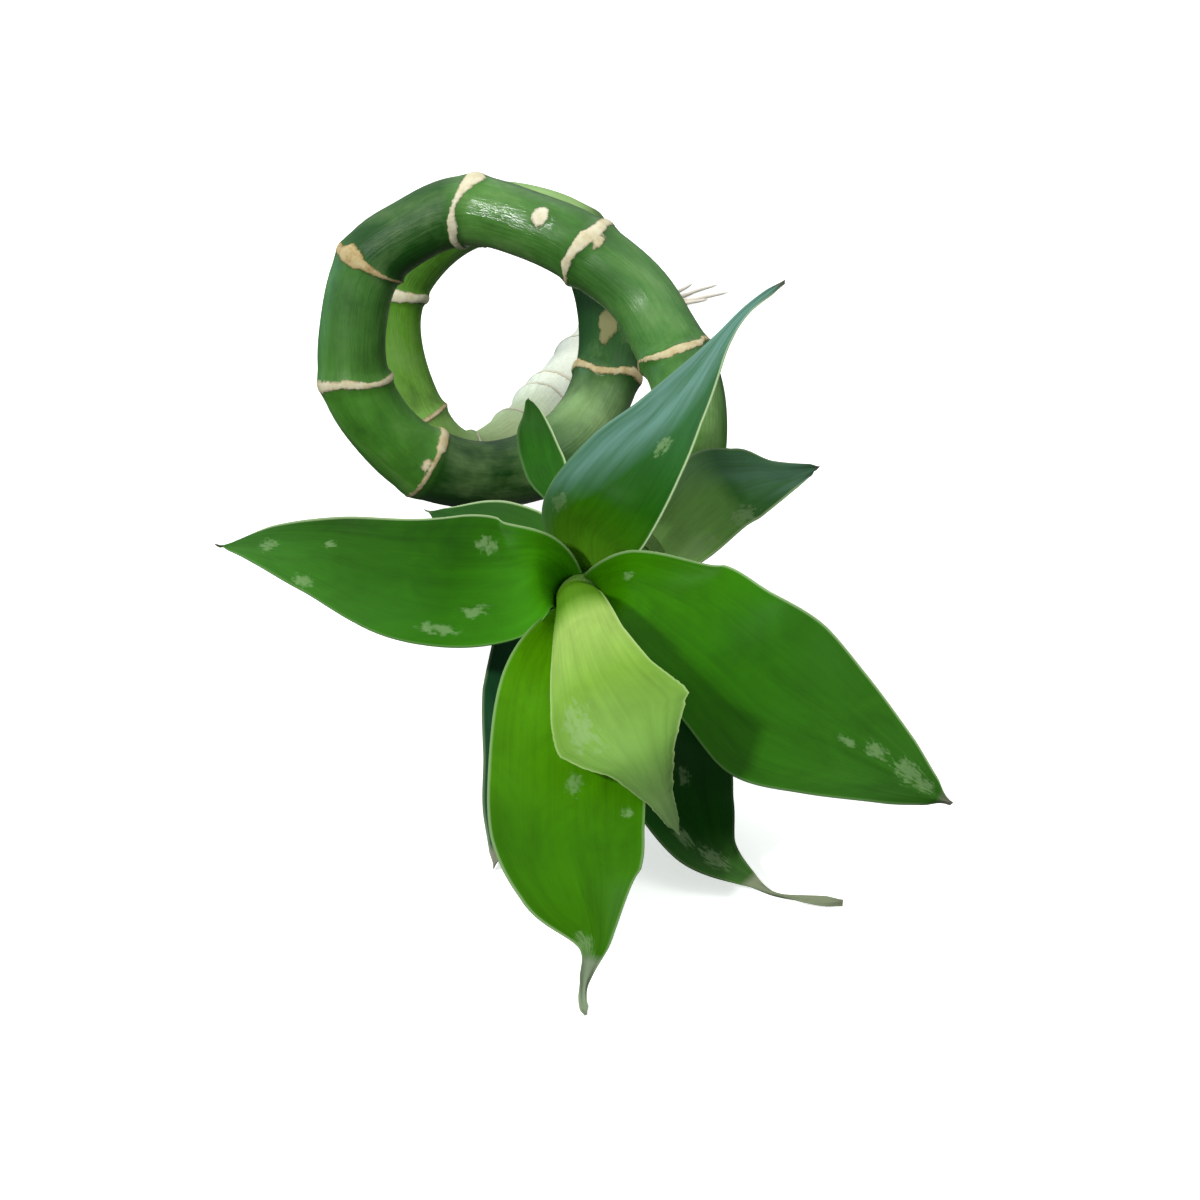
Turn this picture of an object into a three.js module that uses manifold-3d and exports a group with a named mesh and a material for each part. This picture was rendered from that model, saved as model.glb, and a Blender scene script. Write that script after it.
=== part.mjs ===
// Lucky bamboo: a cut stalk grown into two coils, with its head of leaves, lying on a table.
//
// Millimetres, +Z up. The table is z = 0. The leaves point along -Y and the roots along +Y.
// The stalk is one solid: straight foot, two coils and shoot, with a raised ridge at every node.
// Each leaf is one waved blade whose foot is rolled round the shoot.

import * as THREE from 'three';
import Module from 'manifold-3d';
import { mergeVertices } from 'three/addons/utils/BufferGeometryUtils.js';

const wasm = await Module();
wasm.setup();

// ---------------------------------------------------------------- driving dimensions

const ORIGIN = [-5.4, 20.6];          // plan position of the part's origin, middle of its box
const FOOT_GAP = 0.45;                // clearance between a leaf's rolled foot and the shoot
const TRIM_GAP = 0.3;                 // clearance where a blade is cut back to clear the shoot

const STALK_SIDES = 12;
const RIDGE_HEIGHT = 0.4;             // how far a node's ridge stands out of the stalk
const RIDGE_REACH = 2.4;              // from the top of a ridge to plain stalk, along the stalk
const WAIST = 0.04;                   // how much thinner the cane is halfway between two nodes
const RIDGE_PROFILE = [[-1, 0], [-0.45, 0.8], [0, 1], [0.45, 0.8], [1, 0]]; // shares of both
const RIDGE_CLEARANCE = 1.4;          // plain sections stay this many reaches away from a node
const STALK_SECTIONS = [0.2, 0.35, 0.5, 0.65, 0.8]; // of the stretch between two nodes
const SHOOT_SECTIONS = [0, 0.25, 0.5, 0.75];
const FOOT_LENGTH = 4;                // from the last node of the foot to the cut end
const TABLE_SIZE = [400, 500, 20];    // of the block that stands for the table

const BUD_LENGTH = 1.5;               // of the blunt end of the shoot, inside the youngest leaf
const BUD_RADIUS = 1.3;

const ROWS_PER_SPAN = 2;              // rows of a blade between two points of its midrib
const BLADE_COLUMNS = 6;
const BLADE_THICKNESS = 0.7;
const SHEATH_LENGTH = 2.3;            // how far a leaf's foot runs along the shoot
const FACE_TURN = [0.08, 0.35];       // shares of a leaf between which it turns its face to its aim
const OPEN_BLADE = 0.4;               // share of a leaf at which it has stopped being rolled
const WAVES = 2.5;                    // up a blade's margin
const WAVE_SHIFT = 0.25;              // of a wave, by which the two margins differ to each side

const ROOT_COUNT = 9;
const ROOT_SIDES = 5;
const ROOT_RADIUS = [0.75, 0.4];      // of a root where it starts and at its tip
const ROOT_LENGTH = [13, 24];
const ROOT_FAN = [-0.9, 1.35];        // how far the roots turn off +Y, to the left and the right
const ROOT_POINTS = [0, 0.18, 0.4, 0.7, 1]; // shares of a root's length where it may bend
const ROOT_SWAY = 0.12;               // most that it bends aside, as a share of its length
const ROOT_START = [0.5, 0.9];        // off the cut's middle: share of its radius, and ahead in mm
const ROOT_LANDING = 0.45;            // share of its length at which it has come down to the table
const ROOT_SECTIONS = 7;
const CALLUS_DEPTH = 2.4;             // thickness of the healed end that the roots grow from
const CALLUS_PROFILE = [[0, 1], [0.45, 0.97], [0.8, 0.8], [1, 0.45]]; // shares of depth, radius

// The stalk's nodes, from the foot to the shoot: place of the centre, radius there, and how straight
// the stretch after it is: 0 is bent as the smooth line is, 1 is straight, below 0 bows out more.
const NODES = [
  [9, 141, 5.5, 5.1, 0],
  [5, 127, 5.45, 5.1, 0],
  [0.5, 110, 5.45, 5.15, 0],
  [-4, 93, 5.45, 5.2, 0],
  [-9.5, 71, 5.45, 5.2, 0],
  [-11.5, 64, 5.45, 5.2, 0],
  [-15.5, 50, 5.3, 5.25, 0],
  [-24.5, 38, 5.2, 5.35, 0],          // lowest point of the rear coil, where it rests
  [-32.5, 39, 12.5, 5.4, 0],
  [-36.7, 45, 33.5, 5.4, 0],
  [-22, 48.5, 47.7, 5.4, 0],
  [-4, 41.5, 45.7, 5.4, 0],
  [1.5, 23.5, 28, 5.55, -0.1],
  [-10, 8.5, 16.5, 5.75, -0.1],
  [-28, 1.5, 19, 5.8, 0],
  [-39.1, 1.5, 33, 5.6, 0.15],
  [-36.2, 5, 51.5, 5.35, 0.25],
  [-21.5, 5, 60, 5.4, 0.25],
  [-2, -2.5, 55.5, 5.45, -0.6],
  [11, -12.5, 43, 5.4, 0],
];
// The shoot goes on from the last node without ridges, under the leaves' feet.
const SHOOT = [
  [13.5, -28.5, 35, 5.2, 0],
  [10.5, -38, 27.5, 5.1, 0],
  [4, -44, 21.5, 4.8, 0],
  [-1, -50, 19.5, 4.2, 0],
  [-2.8, -56.5, 21.5, 3.4, 0],
  [-3, -63, 24.2, 2.4, 0],
];

// ---------------------------------------------------------------- small tools

const vec = (p) => new THREE.Vector3(p[0], p[1], p[2]);
const smooth = (a, b, x) => THREE.MathUtils.smoothstep(x, a, b);

/** A repeatable draw between 0 and 1. */
function seeded(seed) {
  let state = seed;
  return () => {
    state = (state * 16807) % 2147483647;
    return state / 2147483647;
  };
}

/** Indexed geometry from points and triangles, turned so that its faces point outwards. */
function closedGeometry(points, triangles) {
  let volume = 0;
  for (const [a, b, c] of triangles) {
    const cross = new THREE.Vector3().crossVectors(points[b], points[c]);
    volume += points[a].dot(cross);
  }
  const index = triangles.flatMap(([a, b, c]) => (volume < 0 ? [a, c, b] : [a, b, c]));
  const geometry = new THREE.BufferGeometry().setFromPoints(points);
  geometry.setIndex(index);
  return geometry;
}

/** A closed tube through rings of points, with a fan over each end. */
function loft(rings) {
  const sides = rings[0].length;
  const points = rings.flat();
  const triangles = [];
  for (let i = 0; i + 1 < rings.length; i += 1) {
    for (let j = 0; j < sides; j += 1) {
      const a = i * sides + j;
      const b = i * sides + ((j + 1) % sides);
      triangles.push([a, b, b + sides], [a, b + sides, a + sides]);
    }
  }
  const lastRing = (rings.length - 1) * sides;
  const firstCentre = points.push(centreOf(rings[0])) - 1;
  const lastCentre = points.push(centreOf(rings[rings.length - 1])) - 1;
  for (let j = 0; j < sides; j += 1) {
    const next = (j + 1) % sides;
    triangles.push([firstCentre, next, j], [lastCentre, lastRing + j, lastRing + next]);
  }
  return closedGeometry(points, triangles);
}

function centreOf(ring) {
  const sum = new THREE.Vector3();
  ring.forEach((p) => sum.add(p));
  return sum.divideScalar(ring.length);
}

/** The rings of a round tube: one at each station, with the radius given there. */
function tubeRings(stations, sides) {
  const rings = [];
  let normal = null;
  stations.forEach(({ point, tangent, radius }) => {
    if (normal === null) normal = new THREE.Vector3(0, 0, 1).cross(tangent);
    normal.addScaledVector(tangent, -normal.dot(tangent)).normalize();
    const across = new THREE.Vector3().crossVectors(tangent, normal);
    const ring = [];
    for (let j = 0; j < sides; j += 1) {
      const angle = (2 * Math.PI * j) / sides;
      ring.push(point.clone()
        .addScaledVector(normal, radius * Math.cos(angle))
        .addScaledVector(across, radius * Math.sin(angle)));
    }
    rings.push(ring);
  });
  return rings;
}

function toSolid(geometry) {
  const bare = geometry.clone();
  bare.deleteAttribute('normal');
  bare.deleteAttribute('uv');
  const merged = mergeVertices(bare, 1e-4);
  return new wasm.Manifold(new wasm.Mesh({
    numProp: 3,
    vertProperties: Float32Array.from(merged.attributes.position.array),
    triVerts: Uint32Array.from(merged.index.array),
  }));
}

function fromSolid(solid) {
  const mesh = solid.getMesh();
  const geometry = new THREE.BufferGeometry();
  geometry.setAttribute('position', new THREE.BufferAttribute(mesh.vertProperties, 3));
  geometry.setIndex(new THREE.BufferAttribute(mesh.triVerts, 1));
  return geometry;
}

// ---------------------------------------------------------------- the stalk's line

/** The stalk's centre line: smooth through its nodes, some stretches straighter than others. */
class StalkLine extends THREE.Curve {
  constructor() {
    super();
    const all = [...NODES, ...SHOOT];
    this.marks = all.map(vec);
    this.radii = all.map((p) => p[3]);
    this.straight = all.map((p) => p[4]);
    this.spline = new THREE.CatmullRomCurve3(this.marks, false, 'centripetal');
  }

  getPoint(u, target = new THREE.Vector3()) {
    const spans = this.marks.length - 1;
    const span = Math.min(Math.floor(u * spans), spans - 1);
    const part = u * spans - span;
    const chord = this.marks[span].clone().lerp(this.marks[span + 1], part);
    const pull = this.straight[span] * Math.sin(Math.PI * part) ** 2;
    return target.copy(this.spline.getPoint(u)).lerp(chord, pull);
  }

  /** Everything needed at u: place, direction and plain radius. */
  station(u) {
    const spans = this.marks.length - 1;
    const span = Math.min(Math.floor(u * spans), spans - 1);
    const part = u * spans - span;
    const waist = span < NODES.length - 1 ? WAIST * Math.sin(Math.PI * part) ** 2 : 0;
    const radius = THREE.MathUtils.lerp(this.radii[span], this.radii[span + 1], part) * (1 - waist);
    return { point: this.getPoint(u), tangent: this.getTangent(u), radius };
  }
}

const stalkLine = new StalkLine();

/** The stalk: plain between its nodes, with a low ridge round it at each node. */
function makeStalk() {
  const spans = stalkLine.marks.length - 1;
  const stations = [];
  for (let span = 0; span < spans; span += 1) {
    const length = stalkLine.marks[span].distanceTo(stalkLine.marks[span + 1]);
    const reach = RIDGE_REACH / length;
    RIDGE_PROFILE.forEach(([along, height]) => {
      const u = (span + along * reach) / spans;
      if (u < 0 || span >= NODES.length) return;
      const station = stalkLine.station(u);
      station.radius += height * RIDGE_HEIGHT;
      stations.push({ u, ...station });
    });
    const onShoot = span >= NODES.length;
    const plain = onShoot ? SHOOT_SECTIONS : STALK_SECTIONS;
    const clear = RIDGE_CLEARANCE * reach;
    plain.forEach((part) => {
      const besideRidge = part < clear || part > 1 - clear;
      if (besideRidge && !onShoot) return;
      const u = (span + part) / spans;
      stations.push({ u, ...stalkLine.station(u) });
    });
  }
  const foot = stalkLine.station(0);
  const cut = foot.point.clone().addScaledVector(foot.tangent, -FOOT_LENGTH);
  stations.push({ u: -1, ...foot, point: cut });
  const tip = stalkLine.station(1);
  stations.push({ u: 1, ...tip });
  const bud = tip.point.clone().addScaledVector(tip.tangent, BUD_LENGTH);
  stations.push({ u: 2, ...tip, point: bud, radius: BUD_RADIUS });
  stations.sort((a, b) => a.u - b.u);
  const whole = toSolid(loft(tubeRings(stations, STALK_SIDES)));
  return fromSolid(whole.subtract(belowTable()));
}

/** Everything under the table's surface, which flattens the spots that the stalk rests on. */
function belowTable() {
  const box = new THREE.BoxGeometry(...TABLE_SIZE);
  box.translate(0, 0, -TABLE_SIZE[2] / 2);
  return toSolid(box);
}

// ---------------------------------------------------------------- leaves

// Each leaf, from the youngest outwards: how far behind the shoot's tip it is fixed, which way it
// leaves, how far its foot is rolled to the left and the right, and its blade's sides are curled up
// (radians), the height of its waves, where the middle of its upper face looks, and its midrib:
// place of each point, and the width of the blade to the left and to the right of it there.
const LEAVES = [
  { name: 'leaf_young', back: 2.3, out: [0.1, 0.1, 1], wrap: [1.3, 1.3], curl: 0.45, wave: 0,
    face: [0.2, 0.77, -0.56], colour: 0x86ac48,
    rib: [[-3, -73, 31, 4.5, 3], [-1.5, -89.5, 32, 6, 4.5], [0, -97.5, 30.5, 7.5, 6.5],
      [2, -101.5, 27, 8.25, 8.75], [4.5, -105, 23.2, 4, 5], [7, -104.5, 17.6, 1.25, 2],
      [9.5, -102.5, 12, 0.5, 0.5]] },
  { name: 'leaf_front', back: 5.2, out: [-0.3, 0, -1], wrap: [0.9, 0.95], curl: 0.3, wave: 0.4,
    face: [0, -0.5, 0.9], colour: 0x3f8c14,
    rib: [[-4, -73.2, 21, 6, 6.9], [-4.5, -87.5, 22, 8.75, 8.5], [-4, -99, 18.6, 9.5, 9.5],
      [-4, -107, 14.2, 9.4, 9], [-3, -113, 11, 8, 6.5], [-1, -117.3, 6, 2.2, 1.7],
      [-1.8, -119.8, 3, 0.7, 0.6], [-2, -121.4, 1.5, 0.5, 0.5], [-1.6, -123, 0.5, 0.5, 0.5]] },
  { name: 'leaf_right', back: 8.1, out: [0.9, 0, 0.4], wrap: [0.95, 0.9], curl: 0.3, wave: 0.5,
    face: [0.1, -0.75, 0.65], colour: 0x2f7512,
    rib: [[4, -67, 27.5, 6, 5], [8, -74.5, 26, 11.7, 7], [14.5, -81, 23.5, 12.3, 8],
      [22, -85, 20, 12.25, 11], [29.5, -88.5, 17, 9.25, 8.5], [37, -91, 13.5, 5.25, 4.25],
      [44, -92, 10, 0.5, 0.5]] },
  { name: 'leaf_left', back: 10.5, out: [-0.8, 0, 0.3], wrap: [0.6, 1.22], curl: 0.3, wave: 0.5,
    face: [-0.1, -0.5, 0.86], colour: 0x27681c,
    rib: [[-8.5, -61.5, 26.5, 2.2, 7.3], [-12.5, -64, 27.3, 9.1, 9.7],
      [-20, -64.5, 28, 11.7, 10.2], [-29, -61, 27.5, 9.5, 9], [-38, -57, 27.5, 5.3, 7],
      [-47, -50, 26.5, 2.75, 3.6], [-54.5, -44.5, 24.5, 0.5, 0.5]] },
  { name: 'leaf_upper', back: 14.4, out: [0.35, 0.3, 1], wrap: [0.6, 0.6], curl: 0.5, wave: 0.3,
    face: [-0.3, -0.9, 0.3], colour: 0x1f5c42,
    rib: [[-1, -55.5, 31, 7, 5.5], [0.5, -58.5, 36.5, 7.75, 8.5], [3.5, -55.5, 42, 5.9, 9],
      [7.5, -49, 46, 3, 7.5], [12, -39.5, 49, 1, 5.6], [17.2, -31, 51, 1, 2],
      [20.9, -24.5, 53, 0.5, 1.2], [27.5, -15, 54.5, 0.5, 0.5]] },
  { name: 'leaf_hanging_right', back: 20, out: [0.6, 0, -0.8], wrap: [0.6, 0.6], curl: 0.3,
    wave: 0.4, face: [0.3, -0.8, 0.5], colour: 0x1d4f1a,
    rib: [[8, -71.5, 13, 4, 4], [10.5, -79.5, 10, 6.5, 9], [12, -86, 6.5, 5.5, 9.4],
      [14, -92.3, 3.4, 3.5, 5.5], [18.3, -97, 2, 1.4, 1.2], [21.5, -99.2, 1.4, 0.6, 0.6],
      [25, -99.9, 1, 0.75, 0.6], [30, -100.2, 0.7, 0.5, 0.5]] },
  { name: 'leaf_small', back: 27, out: [-0.5, 0.4, 0.8], wrap: [0.45, 0.45], curl: 0.3, wave: 0.2,
    face: [0.2, -0.9, 0.3], colour: 0x256020,
    rib: [[-5.5, -38, 30, 3.4, 2.5], [-8.5, -29, 31.5, 3.3, 3.25], [-9.5, -22, 33, 3, 2.5],
      [-10.5, -15.5, 34, 1.25, 1.5], [-11, -12, 35, 0.5, 0.5]] },
  { name: 'leaf_hidden_right', back: 29.6, out: [0.2, 0, -1], wrap: [0.4, 0.4], curl: 0.3,
    wave: 0.3, face: [0.1, -0.6, 0.8], colour: 0x245a1c,
    rib: [[12.5, -42, 17, 2.4, 2], [15, -43, 12, 2.6, 2.2], [17, -42, 6, 0.5, 0.5]] },
  { name: 'leaf_rear_left', back: 22.9, out: [-1, 0.1, 0.2], wrap: [0.5, 0.45], curl: 0.3,
    wave: 0.4, face: [-0.1, -0.6, 0.8], colour: 0x266a22,
    rib: [[-7, -45.5, 24.5, 3.5, 3.5], [-11.5, -43, 25.5, 6, 4.7], [-17, -40, 25.7, 5.5, 4],
      [-25.5, -35, 26, 0.5, 0.5]] },
  { name: 'leaf_rear_right', back: 26, out: [0.9, -0.3, 0.3], wrap: [1.2, 0.95], curl: 0.3,
    wave: 0.4, face: [0.2, -0.75, 0.6], colour: 0x285f22,
    rib: [[17.5, -43, 30.5, 8.3, 4.7], [21, -41, 32, 6, 4.6], [26.5, -33, 30.5, 2.75, 2.75],
      [33, -22, 27.5, 0.5, 0.5]] },
  { name: 'leaf_hanging_left', back: 16.7, out: [-0.9, 0, -0.6], wrap: [0.6, 0.6], curl: 0.3,
    wave: 0.4, face: [-0.1, -0.8, 0.5], colour: 0x1a4a2a,
    rib: [[-3, -52, 17, 4, 11], [-9.5, -70, 12.5, 6.25, 6.6], [-11, -78.5, 8.5, 7, 4.4],
      [-12, -85.5, 4.5, 5.25, 3.2], [-13.5, -92, 0.6, 0.5, 0.5]] },
];

/** The shoot's line near its tip, at a distance measured back from the tip. */
function shootStation(back) {
  const length = stalkLine.getLength();
  const u = stalkLine.getUtoTmapping(0, Math.min(length - back, length));
  return stalkLine.station(u);
}

/** The shoot and the space that leaves keep clear round it. */
function makeShootClearance() {
  const spans = stalkLine.marks.length - 1;
  const stations = [];
  for (let span = NODES.length; span < spans; span += 1) {
    SHOOT_SECTIONS.forEach((part) => stations.push(stalkLine.station((span + part) / spans)));
  }
  const tip = stalkLine.station(1);
  const beyond = tip.point.clone().addScaledVector(tip.tangent, BUD_LENGTH + TRIM_GAP);
  stations.push(tip, { ...tip, point: beyond, radius: BUD_RADIUS });
  const swollen = stations.map((station) => ({ ...station, radius: station.radius + TRIM_GAP }));
  return toSolid(loft(tubeRings(swollen, 2 * STALK_SIDES)));
}

const shootClearance = makeShootClearance();

/** A place just clear of the shoot's surface, and the way out to it from the shoot's line. */
function besideShoot(back, outward) {
  const { point, tangent, radius } = shootStation(back);
  const out = vec(outward);
  out.addScaledVector(tangent, -out.dot(tangent)).normalize();
  const standOff = radius + FOOT_GAP + BLADE_THICKNESS / 2;
  return { point: point.clone().addScaledVector(out, standOff), out, standOff };
}

/** The way the upper face looks at each row: carried along the midrib, then turned to its aim. */
function facesAlong(midrib, rows, firstFace, aim) {
  const carried = [];
  let face = firstFace.clone();
  for (let i = 0; i <= rows; i += 1) {
    const along = midrib.getTangent(i / rows);
    face = face.clone().addScaledVector(along, -face.dot(along)).normalize();
    carried.push({ along, face });
  }
  const middle = carried[Math.round(rows / 2)];
  const wanted = aim.clone().addScaledVector(middle.along, -aim.dot(middle.along)).normalize();
  const side = new THREE.Vector3().crossVectors(middle.along, middle.face);
  const turn = Math.atan2(wanted.dot(side), wanted.dot(middle.face));
  return carried.map(({ along, face: plain }, i) => {
    const part = smooth(...FACE_TURN, i / rows);
    return { along, face: plain.clone().applyAxisAngle(along, turn * part) };
  });
}

/** One leaf: a thin closed blade whose foot is rolled round the shoot. */
function makeLeaf(leaf) {
  const [foot, bend] = [0, SHEATH_LENGTH].map((ahead) => besideShoot(leaf.back - ahead, leaf.out));
  const footWidths = leaf.wrap.map((angle) => angle * foot.standOff);
  const footAngle = (leaf.wrap[0] + leaf.wrap[1]) / 2;
  const marks = [foot.point, bend.point, ...leaf.rib.map(vec)];
  const midrib = new THREE.CatmullRomCurve3(marks, false, 'centripetal');
  const pairs = [footWidths, footWidths, ...leaf.rib.map((p) => p.slice(3))];
  const widths = new THREE.SplineCurve(pairs.map(([left, right]) => new THREE.Vector2(left, right)));
  const rows = ROWS_PER_SPAN * (pairs.length - 1);
  const sheathEnd = 1 / (pairs.length - 1);
  const faces = facesAlong(midrib, rows, foot.out.clone().negate(), vec(leaf.face));
  const upper = [];
  const lower = [];
  faces.forEach(({ along, face }, i) => {
    const t = i / rows;
    const centre = midrib.getPoint(t);
    const across = new THREE.Vector3().crossVectors(along, face);
    const opened = smooth(sheathEnd, OPEN_BLADE, t);
    const halfAngle = THREE.MathUtils.lerp(footAngle, leaf.curl, opened);
    const { x: left, y: right } = widths.getPoint(t);
    const radius = (left + right) / (2 * halfAngle);
    const upperRow = [];
    const lowerRow = [];
    for (let j = 0; j <= BLADE_COLUMNS; j += 1) {
      const part = j / BLADE_COLUMNS;
      const side = 2 * part - 1;
      const angle = THREE.MathUtils.lerp(-left, right, part) / radius;
      const phase = 2 * Math.PI * (WAVES * t + WAVE_SHIFT * side);
      const ripple = leaf.wave * side * side * opened * Math.sin(phase);
      const place = centre.clone()
        .addScaledVector(across, radius * Math.sin(angle))
        .addScaledVector(face, radius * (1 - Math.cos(angle)) + ripple);
      const normal = face.clone().applyAxisAngle(along, -angle);
      upperRow.push(place.clone().addScaledVector(normal, BLADE_THICKNESS / 2));
      lowerRow.push(place.clone().addScaledVector(normal, -BLADE_THICKNESS / 2));
    }
    upper.push(upperRow);
    lower.push(lowerRow);
  });
  return clearOfShoot(blade(upper, lower));
}

/** A blade without what reaches into the shoot, and without the loose scraps of that cut. */
function clearOfShoot(geometry) {
  const pieces = toSolid(geometry).subtract(shootClearance).decompose();
  pieces.sort((a, b) => b.volume() - a.volume());
  return fromSolid(pieces[0]);
}

/** A closed blade between two grids of points, cut into triangles alike on both faces. */
function blade(upper, lower) {
  const rows = upper.length;
  const columns = upper[0].length;
  const points = [...upper.flat(), ...lower.flat()];
  const top = (i, j) => i * columns + j;
  const bottom = (i, j) => rows * columns + i * columns + j;
  const triangles = [];
  const quad = (a, b, c, d) => triangles.push([a, b, c], [a, c, d]);
  for (let i = 0; i + 1 < rows; i += 1) {
    for (let j = 0; j + 1 < columns; j += 1) {
      quad(top(i, j), top(i, j + 1), top(i + 1, j + 1), top(i + 1, j));
      triangles.push([bottom(i, j), bottom(i + 1, j + 1), bottom(i, j + 1)]);
      triangles.push([bottom(i, j), bottom(i + 1, j), bottom(i + 1, j + 1)]);
    }
    const last = columns - 1;
    quad(top(i, 0), top(i + 1, 0), bottom(i + 1, 0), bottom(i, 0));
    quad(top(i, last), bottom(i, last), bottom(i + 1, last), top(i + 1, last));
  }
  const end = rows - 1;
  for (let j = 0; j + 1 < columns; j += 1) {
    quad(top(0, j), bottom(0, j), bottom(0, j + 1), top(0, j + 1));
    quad(top(end, j), top(end, j + 1), bottom(end, j + 1), bottom(end, j));
  }
  return closedGeometry(points, triangles);
}

// ---------------------------------------------------------------- roots

/** The healed end of the stalk and the roots that grow from it, joined as one solid. */
function makeRoots() {
  const foot = stalkLine.station(0);
  const away = foot.tangent.clone().negate();
  const cut = foot.point.clone().addScaledVector(away, FOOT_LENGTH + TRIM_GAP);
  const stations = CALLUS_PROFILE.map(([depth, width]) => ({
    point: cut.clone().addScaledVector(away, depth * CALLUS_DEPTH),
    tangent: away,
    radius: width * foot.radius,
  }));
  let whole = toSolid(loft(tubeRings(stations, STALK_SIDES)));
  const draw = seeded(71);
  for (let i = 0; i < ROOT_COUNT; i += 1) {
    const share = (i + 0.2 + 0.6 * draw()) / ROOT_COUNT;
    const turn = THREE.MathUtils.lerp(ROOT_FAN[0], ROOT_FAN[1], share);
    const length = THREE.MathUtils.lerp(ROOT_LENGTH[0], ROOT_LENGTH[1], draw());
    whole = whole.add(oneRoot(cut, foot.radius, turn, length, draw));
  }
  return fromSolid(whole);
}

/** One root: out of the healed end, down to the table and along it, with a bend or two. */
function oneRoot(cut, reach, turn, length, draw) {
  const way = new THREE.Vector3(Math.sin(turn), Math.cos(turn), 0);
  const across = new THREE.Vector3(way.y, -way.x, 0);
  const aside = ROOT_START[0] * reach;
  const start = cut.clone();
  start.add(new THREE.Vector3(aside * Math.sin(turn), ROOT_START[1], -aside * draw()));
  const points = ROOT_POINTS.map((along) => {
    const sway = ROOT_SWAY * length * along * (draw() - 0.5);
    const point = start.clone().addScaledVector(way, along * length).addScaledVector(across, sway);
    point.z = THREE.MathUtils.lerp(start.z, ROOT_RADIUS[0], smooth(0, ROOT_LANDING, along));
    return point;
  });
  const line = new THREE.CatmullRomCurve3(points, false, 'centripetal');
  const stations = [];
  for (let i = 0; i <= ROOT_SECTIONS; i += 1) {
    const t = i / ROOT_SECTIONS;
    const radius = THREE.MathUtils.lerp(ROOT_RADIUS[0], ROOT_RADIUS[1], t);
    stations.push({ point: line.getPoint(t), tangent: line.getTangent(t), radius });
  }
  return toSolid(loft(tubeRings(stations, ROOT_SIDES)));
}

// ---------------------------------------------------------------- the plant

const plant = new THREE.Group();
plant.position.set(-ORIGIN[0], -ORIGIN[1], 0);

function add(name, geometry, colour, roughness) {
  const material = new THREE.MeshStandardMaterial({ color: colour, roughness, metalness: 0 });
  const mesh = new THREE.Mesh(geometry, material);
  mesh.name = name;
  plant.add(mesh);
}

add('stalk', makeStalk(), 0x3c6b2e, 0.4);
add('roots', makeRoots(), 0xc89a6a, 0.7);
LEAVES.forEach((leaf) => add(leaf.name, makeLeaf(leaf), leaf.colour, 0.45));

export default plant;
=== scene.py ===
"""The look of a lucky bamboo: a cane grown into two coils, with its head of leaves and its roots.

The plant lies on a pale surface with its head towards the viewer. Every size below is in
millimetres in the frame that the plant was laid out in: X to the right, Y away from the viewer, Z up
and the surface at z = 0. Meshes and the studio are in metres in the part's own frame.
"""

import logging
import math
from dataclasses import dataclass, field
from enum import Enum
from typing import Any, Callable, Iterator, Sequence

import bmesh
import bpy
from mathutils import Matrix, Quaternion, Vector, kdtree, noise


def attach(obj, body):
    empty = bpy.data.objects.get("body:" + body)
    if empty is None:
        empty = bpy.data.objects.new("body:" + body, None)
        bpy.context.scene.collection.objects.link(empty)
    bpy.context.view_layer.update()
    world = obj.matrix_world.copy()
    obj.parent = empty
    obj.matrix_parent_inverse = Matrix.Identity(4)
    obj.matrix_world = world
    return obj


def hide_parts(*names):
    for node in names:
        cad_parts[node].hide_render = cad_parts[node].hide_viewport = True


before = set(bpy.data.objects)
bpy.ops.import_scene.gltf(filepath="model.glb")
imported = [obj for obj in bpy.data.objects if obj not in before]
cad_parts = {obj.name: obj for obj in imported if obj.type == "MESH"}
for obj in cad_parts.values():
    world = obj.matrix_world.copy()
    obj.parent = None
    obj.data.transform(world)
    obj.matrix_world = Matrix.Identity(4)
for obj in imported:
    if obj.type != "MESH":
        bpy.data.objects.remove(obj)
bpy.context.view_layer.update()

LOG = logging.getLogger("lucky_bamboo")

MM = 0.001                                # metres in a millimetre
PLAN_ORIGIN = Vector((-5.4, 20.6, 0.0))   # the part's origin in the frame of the layout
VIEWER = Vector((0.0, -0.906, 0.423))     # the side that marks on the cane are measured from
FOOT_LENGTH = 4.0                         # from the first node to the cut end
MERGED = 1e-7                             # points of a seam that are closer, in metres, are one
FLOOR_GAP = 0.02                          # how far off the surface the lowest skin stays
FAR = 9.0                                 # farther than any mark on the cane reaches
PLAIN_TONE = 0.3                          # of most scars, on their scale of colours

# The cane's nodes, from the foot to the shoot: place of the centre, radius there, and how straight
# the stretch after it is: 0 is bent as the smooth line is, 1 is straight, below 0 bows out more.
NODES = (
    (9, 141, 5.5, 5.1, 0), (5, 127, 5.45, 5.1, 0), (0.5, 110, 5.45, 5.15, 0),
    (-4, 93, 5.45, 5.2, 0), (-9.5, 71, 5.45, 5.2, 0), (-11.5, 64, 5.45, 5.2, 0),
    (-15.5, 50, 5.3, 5.25, 0), (-24.5, 38, 5.2, 5.35, 0), (-32.5, 39, 12.5, 5.4, 0),
    (-36.7, 45, 33.5, 5.4, 0), (-22, 48.5, 47.7, 5.4, 0), (-4, 41.5, 45.7, 5.4, 0),
    (1.5, 23.5, 28, 5.55, -0.1), (-10, 8.5, 16.5, 5.75, -0.1), (-28, 1.5, 19, 5.8, 0),
    (-39.1, 1.5, 33, 5.6, 0.15), (-36.2, 5, 51.5, 5.35, 0.25), (-21.5, 5, 60, 5.4, 0.25),
    (-2, -2.5, 55.5, 5.45, -0.6), (11, -12.5, 43, 5.4, 0),
)
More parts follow.
